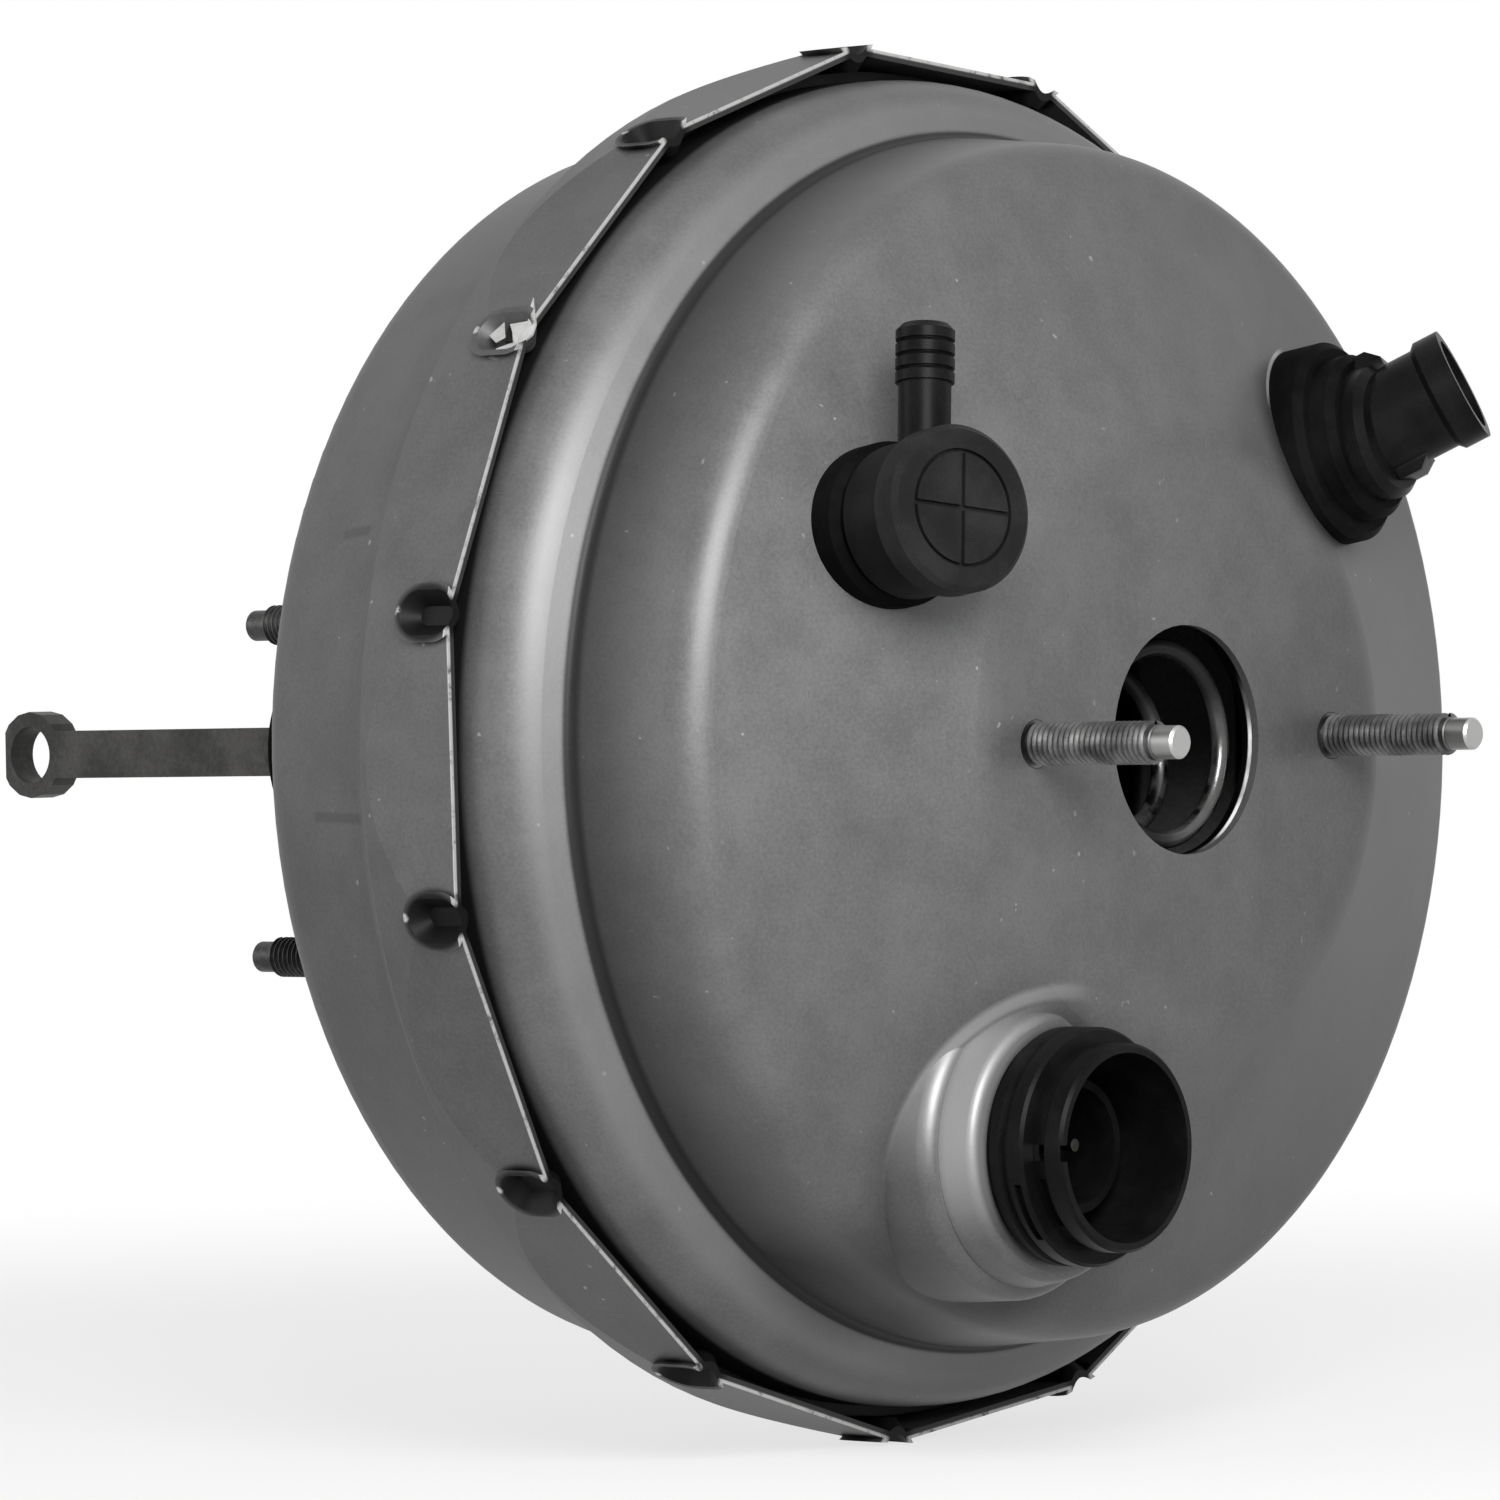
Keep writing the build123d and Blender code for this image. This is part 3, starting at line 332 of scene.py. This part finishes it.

# Painted shade along three shallow creases, and a broad stain on the drum.
crease_shade = rear_coat.patch(0.0625, 160.3, 0.009, 0.0022, 0.0006) * 0.42
crease_shade = crease_shade + rear_coat.patch(0.0630, -174.8, 0.016, 0.0022, 0.0006) * 0.42
crease_shade = crease_shade + rear_coat.patch(0.0600, 136.0, 0.017, 0.0075, 0.0016) * 0.24
stain = rear_coat.patch(0.0660, 171.0, 0.022, 0.052, 0.003) * rear_coat.noise(30.0, 3.0).between(0.42, 0.62)
shade = (crease_shade + stain * 0.14 + edge_face_shade).between(-0.02, 1.1)
stained_coat_in_shade = rear_coat.blend(shade, rear_body, (0.022, 0.022, 0.022, 1))
stained_coat_in_shade = rear_coat.blend(dent_shade, stained_coat_in_shade, (0.006, 0.006, 0.006, 1))
bare = rear_coat.least(edge_bare_and_highlight + nick_bare, 1.0)
rear_coat.give("Base Color", rear_coat.blend(bare, stained_coat_in_shade, (0.46, 0.46, 0.45, 1)))
rear_coat.onto("rear_shell")

# ------------------------------------------------------------------ steel inside the shells
# Centre plate, reinforcement plates, diaphragm plates and seats: pressed sheet, oiled
# or zinc plated, seen only in part through the master cylinder hole. Those seen there are
# coloured near black as painted shade.


def drawn_metal(name, roughness):
    """Bare or plated metal with drawn streaks and patches of dullness, not yet coloured."""
    metal = Finish(name, roughness, 1.0)
    metal.patches = metal.noise(55.0, 4.0, 0.6)
    metal.streaks = metal.noise(900.0, 3.0, 0.65)
    metal.give("Roughness", roughness + (metal.patches - 0.5) * 0.25 + (metal.streaks - 0.5) * 0.12)
    metal.bump(metal.streaks, 0.00004, 0.4)
    return metal


def bare_metal(name, colour, worn, roughness):
    """Drawn metal of one colour, lighter where it is worn."""
    metal = drawn_metal(name, roughness)
    tone = (metal.patches * 0.7 + metal.streaks * 0.3).between(0.35, 0.65)
    metal.give("Base Color", metal.blend(tone, colour, worn))
    return metal


plate_zinc = bare_metal("plate_zinc", (0.42, 0.42, 0.41, 1), (0.55, 0.55, 0.53, 1), 0.42)
plate_zinc.onto("centre_plate", "rear_seal_retainer")
# Near black as painted shade, where these show through the hole.
plate_in_shade = bare_metal("plate_in_shade", (0.008, 0.008, 0.008, 1), (0.02, 0.02, 0.02, 1), 0.5)
plate_in_shade.onto("rear_reinforcement_plate", "spring_seat")
# Painted highlight: one arc of the bore's back edge, low on the right, is coloured bright; the rest of this
# plate is near black as painted shade.
bored_plate = drawn_metal("bored_plate", 0.4)
highlight_mottle = bored_plate.noise(120.0, 3.0).between(0.35, 0.55)
bore_ridge = bored_plate.along("X").within((0.1623, 0.1627), (0.1634, 0.1637))
low_right = abs(bored_plate.turned_from(-25.0)).below(22.0, 62.0)
bore_highlight = bored_plate.from_axis().below(0.0234, 0.0236) * bore_ridge * low_right * (0.6 + 0.4 * highlight_mottle)
bore_plate_shade = (0.012, 0.012, 0.012, 1)
bored_plate.give("Base Color", bored_plate.blend(bore_highlight, bore_plate_shade, (0.85, 0.85, 0.84, 1)))
bored_plate.give("Metallic", 1 - bore_highlight)
bored_plate.onto("front_reinforcement_plate")
# Aluminium plates coloured near black as painted shade.
plate_aluminium = bare_metal("plate_aluminium", (0.03, 0.03, 0.03, 1), (0.06, 0.06, 0.06, 1), 0.42)
plate_aluminium.onto("rear_diaphragm_plate", "front_diaphragm_plate")

# ------------------------------------------------------------------ torn crimp
# One lance of the rear shell tore when it was pressed down: two curled flakes of bare
# bright steel stand round a small split, drawn as a thin near-black sheet of painted shade.
torn_x = 0.0972
torn_r = 0.1322
leaf_wall = 0.00035
leaf_turn_r = 131.5  # in millimetres, as the places on the crimp are


def crimp_place(along_x, round_it, lift):
    """A place on the torn crimp: millimetres along the axis, round it and above it."""
    turned = math.radians(torn_bearing) + round_it / leaf_turn_r
    out = torn_r + lift / 1000
    return (torn_x + along_x / 1000, out * math.cos(turned), out * math.sin(turned))


def clear_selection():
    bpy.ops.object.select_all(action="DESELECT")


def line_of(name, points):
    """A bare line through points, drawn out from one corner of a plane merged to a point."""
    clear_selection()
    bpy.ops.mesh.primitive_plane_add(size=0.001, location=points[0])
    bpy.ops.object.transform_apply()
    drawn = bpy.context.object
    drawn.name = name
    bpy.ops.object.mode_set(mode="EDIT")
    bpy.ops.mesh.select_all(action="SELECT")
    bpy.ops.mesh.merge(type="CENTER")
    for here, there in zip(points[:-1], points[1:]):
        step = tuple(b - a for a, b in zip(here, there))
        bpy.ops.mesh.extrude_region_move(TRANSFORM_OT_translate={"value": step})
    bpy.ops.object.mode_set(mode="OBJECT")
    return drawn


def close_up(piece, degrees):
    """Merge what meets, turn the faces outwards and smooth all but the sharp edges."""
    clear_selection()
    piece.select_set(True)
    bpy.context.view_layer.objects.active = piece
    bpy.ops.object.mode_set(mode="EDIT")
    bpy.ops.mesh.select_all(action="SELECT")
    bpy.ops.mesh.remove_doubles(threshold=0.000002)
    bpy.ops.mesh.normals_make_consistent(inside=False)
    bpy.ops.object.mode_set(mode="OBJECT")
    bpy.ops.object.shade_smooth_by_angle(angle=math.radians(degrees))
    return piece


def dress(piece, finish, body):
    """Give a piece its finish and the body that carries it."""
    piece.data.materials.clear()
    piece.data.materials.append(finish.material)
    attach(piece, body)
    return piece


def flake(name, corners, thickness, bend):
    """A torn leaf of sheet: an outline filled, subdivided, curled and given its thickness."""
    ring = [crimp_place(*corner) for corner in corners]
    leaf = line_of(name, ring + ring[:1])
    bpy.ops.object.mode_set(mode="EDIT")
    bpy.ops.mesh.select_all(action="SELECT")
    bpy.ops.mesh.remove_doubles(threshold=0.00001)
    bpy.ops.mesh.select_all(action="SELECT")
    bpy.ops.mesh.edge_face_add()
    bpy.ops.mesh.quads_convert_to_tris()
    bpy.ops.mesh.subdivide(number_cuts=2, smoothness=bend)
    bpy.ops.object.mode_set(mode="OBJECT")
    wall = leaf.modifiers.new("wall", "SOLIDIFY")
    wall.thickness = thickness
    wall.offset = 0.0
    bpy.ops.object.modifier_apply(modifier="wall")
    return close_up(leaf, 50)


torn_steel = bare_metal("torn_steel", (0.38, 0.38, 0.37, 1), (0.6, 0.6, 0.59, 1), 0.45)
painted_split_shade = bare_metal("painted_split_shade", (0.01, 0.01, 0.01, 1), (0.02, 0.02, 0.02, 1), 0.7)
long_flake = flake(
    "torn_long_flake",
    [
        (1.0, -7.6, 1.6),
        (4.3, -1.8, 0.9),
        (4.4, 0.4, 0.7),
        (2.1, 2.7, 0.6),
        (-1.8, 5.7, 0.9),
        (-3.8, 5.2, 1.1),
        (-3.1, 3.1, 0.8),
        (0.2, 1.8, 0.6),
        (-0.9, -0.4, 0.8),
        (-2.4, -2.2, 0.9),
        (1.8, -2.7, 0.9),
        (1.0, -6.3, 1.4),
    ],
    leaf_wall,
    0.4,
)
dress(long_flake, torn_steel, "housing")
short_flake = flake(
    "torn_short_flake",
    [(-4.0, -2.7, 1.0), (-6.0, 0.4, 1.2), (-3.9, 1.8, 0.8), (-2.3, 0.6, 0.6)],
    leaf_wall,
    0.4,
)
dress(short_flake, torn_steel, "housing")
# The split is a thin near-black sheet of painted shade.
split = flake("torn_split", [(-2.4, -1.8, 0.95), (-1.6, 1.8, 0.95), (0.2, 1.8, 0.95)], 0.0003, 0.0)
dress(split, painted_split_shade, "housing")

# ------------------------------------------------------------------ studs
# Cold-headed M8 steel studs, zinc plated, staked through the shells into the
# reinforcement plates, each with a plain dog point.
stud_zinc = drawn_metal("stud_zinc", 0.42)
dog_x = 0.1942
stud_tone = stud_zinc.noise(160.0, 4.0, 0.6).between(0.35, 0.65)
stud_body = stud_zinc.blend(stud_tone, (0.07, 0.07, 0.07, 1), (0.17, 0.17, 0.168, 1))
dog_worn = stud_zinc.along("X").between(dog_x - 0.0004, dog_x + 0.0004)
stud_zinc.give("Base Color", stud_zinc.blend(dog_worn, stud_body, (0.42, 0.42, 0.41, 1)))
stud_zinc.onto("master_cylinder_studs")
stud_dull = bare_metal("stud_dull", (0.035, 0.035, 0.035, 1), (0.10, 0.10, 0.098, 1), 0.45)
stud_dull.onto("firewall_studs")
thread_pitch = 0.00125
crest_r = 0.0040
root_r = 0.0033
head_r = 0.0065
head_height = 0.0024
shank_r = 0.0044
dog_r = 0.00305
thread_end = 0.0052


def spun(name, points, steps, degrees=35):
    """A solid of revolution about the booster's axis from a line of (x, radius) points."""
    piece = line_of(name, [(x, 0.0, radius) for x, radius in points])
    bpy.ops.object.mode_set(mode="EDIT")
    bpy.ops.mesh.select_all(action="SELECT")
    bpy.ops.mesh.spin(steps=steps, angle=2 * math.pi, center=(0, 0, 0), axis=(1, 0, 0))
    bpy.ops.object.mode_set(mode="OBJECT")
    return close_up(piece, degrees)


def threaded_stud(name, start, foot, tip, way):
    """A stud along X at the origin: head and shank spun, and its thread screwed on."""
    under_head = start + way * head_height
    ends = [(start, 0.0), (start, head_r), (under_head, head_r), (under_head, shank_r)]
    ends += [(foot, shank_r), (foot, root_r), (tip - way * thread_end, root_r), (tip - way * 0.005, dog_r)]
    ends += [(tip - way * 0.0005, dog_r), (tip, 0.0026), (tip, 0.0)]
    shank = spun(name, ends, 40)
    low, high = sorted((foot, tip - way * thread_end))
    turns = int((high - low) / thread_pitch) - 1
    tooth = [(0.0, 0.0, root_r - 0.0001), (0.16, 0.0, root_r), (0.46, 0.0, crest_r), (0.6, 0.0, crest_r)]
    tooth += [(0.9, 0.0, root_r), (1.0, 0.0, root_r - 0.0001)]
    thread = line_of(name + "_thread", [(low + x * thread_pitch, y, z) for x, y, z in tooth])
    screw = thread.modifiers.new("screw", "SCREW")
    screw.axis = "X"
    screw.screw_offset = thread_pitch
    screw.iterations = turns
    screw.steps = screw.render_steps = 28
    screw.use_merge_vertices = True
    bpy.ops.object.modifier_apply(modifier="screw")
    close_up(thread, 40)
    clear_selection()
    thread.select_set(True)
    shank.select_set(True)
    bpy.context.view_layer.objects.active = shank
    bpy.ops.object.join()
    return shank


def set_of(piece, name, spots):
    """Copies of a piece at several places, joined into one."""
    copies = []
    for y, z in spots:
        copy = piece.copy()
        copy.data = piece.data.copy()
        bpy.context.collection.objects.link(copy)
        copy.location = (0, y, z)
        copies.append(copy)
    bpy.data.objects.remove(piece)
    clear_selection()
    for copy in copies:
        copy.select_set(True)
    bpy.context.view_layer.objects.active = copies[0]
    bpy.ops.object.join()
    bpy.ops.object.transform_apply()
    joined = bpy.context.object
    joined.name = name
    return joined


front_stud = threaded_stud("front_stud", 0.1585, 0.165, 0.199, 1)
front_studs = set_of(front_stud, "front_threaded_studs", [(-0.044, 0.0), (0.044, 0.0)])
dress(front_studs, stud_zinc, "housing")
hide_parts("master_cylinder_studs")
rear_stud = threaded_stud("rear_stud", 0.0065, 0.0, -0.0355, -1)
rear_spots = [(-0.046, -0.0404), (-0.046, 0.0256), (0.046, -0.0404), (0.046, 0.0256)]
rear_studs = set_of(rear_stud, "rear_threaded_studs", rear_spots)
dress(rear_studs, stud_dull, "housing")
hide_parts("firewall_studs")

# ------------------------------------------------------------------ rods and springs
# Forged and turned steel push rods, left dark with a thin oxide, and the return
# spring of drawn wire, bright on one side as a painted highlight and near black as painted
# shade elsewhere. The check valve has a small one.
rod_steel = bare_metal("rod_steel", (0.028, 0.028, 0.027, 1), (0.066, 0.065, 0.063, 1), 0.5)
rod_steel.onto("pushrod")
# The output rod is coloured near black as painted shade.
oiled_steel_in_shade = bare_metal("oiled_steel_in_shade", (0.008, 0.008, 0.008, 1), (0.025, 0.025, 0.025, 1), 0.4)
oiled_steel_in_shade.onto("output_rod")
spring_steel = drawn_metal("spring_steel", 0.22)
# Painted highlight on one side of the wire round the booster's axis, painted shade elsewhere.
lit_side = abs(spring_steel.turned_from(-35.0)).below(24.0, 70.0)
lit_side = lit_side * (0.7 + 0.3 * spring_steel.noise(300.0, 3.0).between(0.35, 0.6))
spring_steel.give("Metallic", lit_side)
spring_steel.give("Specular IOR Level", 0.08)
spring_steel.give("Base Color", spring_steel.blend(lit_side, (0.012, 0.012, 0.012, 1), (0.13, 0.13, 0.128, 1)))


def wound_wire(name, wire_r, coils, steps, place):
    """Round wire swept along place(turns), its ends closed, as a mesh."""
    clear_selection()
    line = bpy.data.curves.new(name + "_line", "CURVE")
    line.dimensions = "3D"
    line.bevel_depth = wire_r
    line.bevel_resolution = 3
    line.use_fill_caps = True
    path = line.splines.new("POLY")
    path.points.add(steps)
    for step in range(steps + 1):
        path.points[step].co = (*place(coils * step / steps), 1)
    wire = bpy.data.objects.new(name, line)
    bpy.context.collection.objects.link(wire)
    wire.select_set(True)
    bpy.context.view_layer.objects.active = wire
    bpy.ops.object.convert(target="MESH")
    close_up(wire, 40)
    return wire


spring_front_x = 0.1592
spring_rear_x = 0.0870
spring_coils = 5.0
spring_wire_r = 0.0017
spring_waist_r = 0.0148
spring_flare = 0.0047


def return_coil(turns):
    """Hourglass: closed end turns, even pitch and a waist half way."""
    end_rise = 2 * spring_wire_r
    pitch = (spring_front_x - spring_rear_x - 2 * end_rise) / (spring_coils - 2)
    from_end = min(turns, spring_coils - turns)
    rise = end_rise * from_end**2 if from_end < 1 else end_rise + pitch * (from_end - 1)
    x = spring_front_x - rise if turns < spring_coils / 2 else spring_rear_x + rise
    radius = spring_waist_r + spring_flare * abs(2 * turns / spring_coils - 1) ** 1.6
    turn = math.pi + 2 * math.pi * turns
    return (x, radius * math.cos(turn), radius * math.sin(turn))


return_spring = wound_wire("hourglass_spring", spring_wire_r, spring_coils, 300, return_coil)
dress(return_spring, spring_steel, "housing")
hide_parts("return_spring")
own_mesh(return_spring)

valve_foot = Vector((0.154071, -0.072, 0.04))
valve_way = Vector((0.9689716, -0.2160672, 0.1200373))
valve_side = valve_way.cross(Vector((0, 0, 1))).normalized()
valve_coil_start = 0.0101
valve_coil_end = 0.0167
valve_coils = 4.5
valve_coil_r = 0.0045


def valve_coil(turns):
    """Small straight spring between the check valve's disc and its cap."""
    along_valve = valve_coil_start + (valve_coil_end - valve_coil_start) * turns / valve_coils
    turn = 2 * math.pi * turns
    out = valve_side * math.cos(turn) + valve_way.cross(valve_side) * math.sin(turn)
    return valve_foot + valve_way * along_valve + out * valve_coil_r


valve_spring = wound_wire("check_valve_coil", 0.0004, valve_coils, 120, valve_coil)
dress(valve_spring, spring_steel, "check_valve")
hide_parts("check_valve_spring")
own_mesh(valve_spring)

# ------------------------------------------------------------------ moulded plastic
# Valve body of brown phenolic, and the check valve, sensor and socket of black nylon.


def moulded(name, dark, light, roughness):
    """Injection-moulded plastic: even colour, fine matt grain and rubbed patches."""
    plastic = Finish(name, roughness, gloss=0.055)
    rub = plastic.noise(85.0, 4.0, 0.55)
    grain = plastic.noise(2400.0, 2.0, 0.6)
    plastic.give("Base Color", plastic.blend((rub * 0.75 + grain * 0.25).between(0.4, 0.66), dark, light))
    plastic.give("Roughness", roughness + (rub - 0.5) * 0.24 + (grain - 0.5) * 0.1)
    plastic.bump(grain, 0.00004, 0.45)
    return plastic


black_nylon = moulded("black_nylon", (0.0035, 0.0035, 0.0036, 1), (0.008, 0.008, 0.0083, 1), 0.36)
black_nylon.onto(
    "check_valve_body",
    "sensor_body",
    "sensor_plunger",
    "harness_socket",
    "air_valve_plunger",
    "filter_retainer",
)
cap_nylon = moulded("cap_nylon", (0.010, 0.010, 0.010, 1), (0.018, 0.018, 0.018, 1), 0.4)
cap_nylon.onto("check_valve_cap")
plug_foot = Vector((0.163, 0.05486, 0.05702))
plug_way = Vector((0.7760957, 0.4538136, 0.4378684)).normalized()
lug_out = 0.0096
lug_ramp = 0.35
lug_taper = 0.8
lug_rounding = 0.0005


def latch_lug(name, along_plug, bearing, length, width, height):
    """A moulded latch on the plug: a block tapered to a ramp, its edges rounded."""
    lift = (Vector((0, 0, 1)) - plug_way * plug_way.z).normalized()
    out = Matrix.Rotation(math.radians(bearing), 3, plug_way) @ lift
    turned = Matrix((plug_way, out.cross(plug_way), out)).transposed().to_4x4()
    place = Matrix.Translation(plug_foot + plug_way * along_plug + out * lug_out) @ turned
    clear_selection()
    bpy.ops.mesh.primitive_cube_add(size=1.0)
    lug = bpy.context.object
    lug.name = name
    lug.scale = (length, width, height)
    bpy.ops.object.transform_apply()
    bpy.ops.object.mode_set(mode="EDIT")
    bpy.ops.mesh.select_all(action="SELECT")
    bpy.ops.mesh.subdivide(number_cuts=2)
    bpy.ops.object.mode_set(mode="OBJECT")
    for corner in lug.data.vertices:
        if corner.co.z > 0.2 * height and corner.co.x > 0.3 * length:
            corner.co.z -= lug_ramp * height
        if corner.co.z > 0.2 * height:
            corner.co.y *= lug_taper
    rounding = lug.modifiers.new("rounding", "BEVEL")
    rounding.width = lug_rounding
    rounding.segments = 3
    rounding.angle_limit = math.radians(25)
    bpy.ops.object.modifier_apply(modifier="rounding")
    lug.matrix_world = place
    bpy.ops.object.transform_apply()
    close_up(lug, 40)
    dress(lug, black_nylon, "housing")


latch_lug("sensor_latch_top", 0.0085, -8.0, 0.0074, 0.0100, 0.0070)
latch_lug("sensor_latch_low", 0.0085, 172.0, 0.0068, 0.0090, 0.0056)
phenolic = moulded("phenolic", (0.02, 0.013, 0.009, 1), (0.034, 0.022, 0.015, 1), 0.42)
phenolic.onto("valve_body")

# ------------------------------------------------------------------ rubber
# Diaphragms, boot, grommets, seals and the reaction disc, moulded from black rubber
# that has bloomed a little grey.


def rubber(name, dark, bloom, roughness):
    """Moulded rubber: nearly black, soft sheen, dusty bloom in patches."""
    soft = Finish(name, roughness, gloss=0.02)
    dust = soft.noise(40.0, 5.0, 0.65)
    pores = soft.noise(1300.0, 3.0, 0.6)
    soft.give("Base Color", soft.blend(dust.between(0.42, 0.72), dark, bloom))
    soft.give("Roughness", roughness + (dust - 0.5) * 0.3)
    soft.bump(pores, 0.00005, 0.5)
    return soft


black_rubber = rubber("black_rubber", (0.0025, 0.0025, 0.0025, 1), (0.007, 0.007, 0.007, 1), 0.62)
black_rubber.onto(
    "rear_diaphragm",
    "front_diaphragm",
    "check_valve_grommet",
    "sensor_grommet",
    "centre_plate_seal",
    "rear_hub_seal",
    "reaction_disc",
    "poppet_seal",
    "check_valve_disc",
    "harness_socket_seal",
    "dust_boot",
)
boot_wall = 0.0013
boot_folds = 4
first_fold_x = -0.0236
fold_pitch = 0.0075
first_reach = 0.0268
fold_taper = 0.0006
mouth_x = -0.0600
mouth_blend = 0.0080
mouth_stretch = 0.75
boot_outside = [(-0.0181, 0.0262), (-0.0185, 0.0270), (-0.0222, 0.0270), (-0.0230, 0.0262)]
for fold in range(boot_folds):
    fold_x = first_fold_x - fold_pitch * fold
    reach = first_reach - fold_taper * fold
    boot_outside += [
        (fold_x, reach - 0.0034),
        (fold_x - 0.0016, reach - 0.0028),
        (fold_x - 0.0030, reach - 0.0004),
        (fold_x - 0.0038, reach),
        (fold_x - 0.0048, reach - 0.0006),
        (fold_x - 0.0064, reach - 0.0030),
    ]
boot_outside += [(-0.0540, 0.0212), (-0.0562, 0.0180), (-0.0590, 0.0164), (-0.0616, 0.0158)]
boot_outside += [(-0.0636, 0.0120), (-0.0660, 0.0090), (-0.0684, 0.0080), (-0.0706, 0.0086)]
boot_outside += [(-0.0710, 0.0080), (-0.0709, 0.0070)]
boot = spun("dust_boot_skin", boot_outside, 72, 60)
wall = boot.modifiers.new("wall", "SOLIDIFY")
wall.thickness = boot_wall
wall.offset = -1.0
bpy.ops.object.modifier_apply(modifier="wall")
smooth = boot.modifiers.new("smooth", "SUBSURF")
smooth.levels = smooth.render_levels = 1
bpy.ops.object.modifier_apply(modifier="smooth")
for point in boot.data.vertices:
    towards_mouth = min(max((mouth_x - point.co.x) / mouth_blend, 0.0), 1.0)
    point.co.z *= 1 + mouth_stretch * towards_mouth
bpy.ops.object.shade_smooth()
dress(boot, black_rubber, "housing")
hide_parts("dust_boot")
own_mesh(boot)

# ------------------------------------------------------------------ electrical parts and filter
# Copper winding of the valve's solenoid, tinned contact pins, and the felt ring that
# filters the air drawn in behind the valve.
copper = bare_metal("copper_winding", (0.55, 0.24, 0.12, 1), (0.68, 0.33, 0.17, 1), 0.35)
copper.onto("solenoid_coil")
tinned = bare_metal("tinned_brass", (0.08, 0.078, 0.07, 1), (0.2, 0.195, 0.175, 1), 0.28)
tinned.onto("sensor_pins", "socket_pins")
felt = Finish("filter_felt", 0.95)
fibres = felt.noise(700.0, 6.0, 0.75)
felt.give("Base Color", felt.blend(fibres.between(0.35, 0.65), (0.2, 0.19, 0.17, 1), (0.42, 0.4, 0.36, 1)))
felt.bump(fibres, 0.0005)
felt.onto("air_filter")

# ------------------------------------------------------------------ floor, light and camera
# Pale studio floor that takes a soft shadow, a white surround, two soft lamps and
# a long lens at the height of the booster's axis.
floor_z = cad_box[0][2]
floor_r = 9.0
surround_light = 0.36
bpy.ops.mesh.primitive_circle_add(vertices=96, radius=floor_r, fill_type="NGON", location=(0, 0, floor_z))
floor = bpy.context.object
floor.name = "floor"
bpy.ops.object.transform_apply()
pale = Finish("pale_floor", 0.9)
seen = pale.node("ShaderNodeLightPath", {}, "Is Camera Ray")
seen = seen + pale.node("ShaderNodeLightPath", {}, "Is Glossy Ray")
seen = (seen + pale.node("ShaderNodeLightPath", {}, "Is Transmission Ray")).between(0.0, 1.0)
far = (pale.along("X") ** 2 + pale.along("Y") ** 2) ** 0.5
glow = pale.node("ShaderNodeEmission", {"Color": (1, 1, 1, 1), "Strength": 1.0}, "Emission")
pale.give("Base Color", (0.8, 0.8, 0.8, 1))
share = seen * (0.72 + 0.28 * far.between(0.25, 0.75))
mixed = pale.node("ShaderNodeMixShader", {0: share, 1: Reading(pale, pale.shader.outputs[0]), 2: glow})
pale.tree.links.new(mixed.socket, pale.tree.nodes["Material Output"].inputs["Surface"])
floor.data.materials.append(pale.material)

surround = bpy.data.worlds.new("surround")
bpy.context.scene.world = surround
surround.use_nodes = True
sky = surround.node_tree
path = sky.nodes.new("ShaderNodeLightPath")
seen_ray = path.outputs["Is Camera Ray"]
for ray in ("Is Transmission Ray", "Is Glossy Ray"):
    either = sky.nodes.new("ShaderNodeMath")
    either.operation = "ADD"
    either.use_clamp = True
    sky.links.new(seen_ray, either.inputs[0])
    sky.links.new(path.outputs[ray], either.inputs[1])
    seen_ray = either.outputs[0]
level = sky.nodes.new("ShaderNodeMapRange")
level.inputs["To Min"].default_value = surround_light
level.inputs["To Max"].default_value = 1.0
sky.links.new(seen_ray, level.inputs["Value"])
sky.links.new(level.outputs[0], sky.nodes["Background"].inputs["Strength"])
sky.nodes["Background"].inputs["Color"].default_value = (1, 1, 1, 1)

aim = Vector((0.08, 0, 0))
for name, place, size, power in (
    ("key_lamp", (0.73, -0.51, 0.37), 0.44, 9.8),
    ("left_lamp", (-1.0, -1.2, 0.35), 0.8, 4.6),
):
    bpy.ops.object.light_add(type="AREA", location=place)
    lamp = bpy.context.object
    lamp.name = name
    lamp.data.size = size
    lamp.data.energy = power
    lamp.rotation_euler = (aim - lamp.location).to_track_quat("-Z", "Y").to_euler()

bpy.ops.object.camera_add()
camera = bpy.context.object
camera.name = "camera"
camera_place = (1.10564, -1.17122, 0.01152)
right = Vector((0.74439, 0.66745, -0.01972))
down = Vector((-0.00941, -0.01904, -0.99977))
ahead = Vector((-0.66768, 0.74441, -0.00789))
turned = Matrix((right, -down, -ahead)).transposed().to_4x4()
camera.matrix_world = Matrix.Translation(camera_place) @ turned
camera.data.sensor_width = 36.0
camera.data.lens = 192.52
camera.data.clip_start = 0.05
camera.data.clip_end = 60.0
bpy.context.scene.camera = camera
bpy.context.scene.view_settings.view_transform = "Standard"
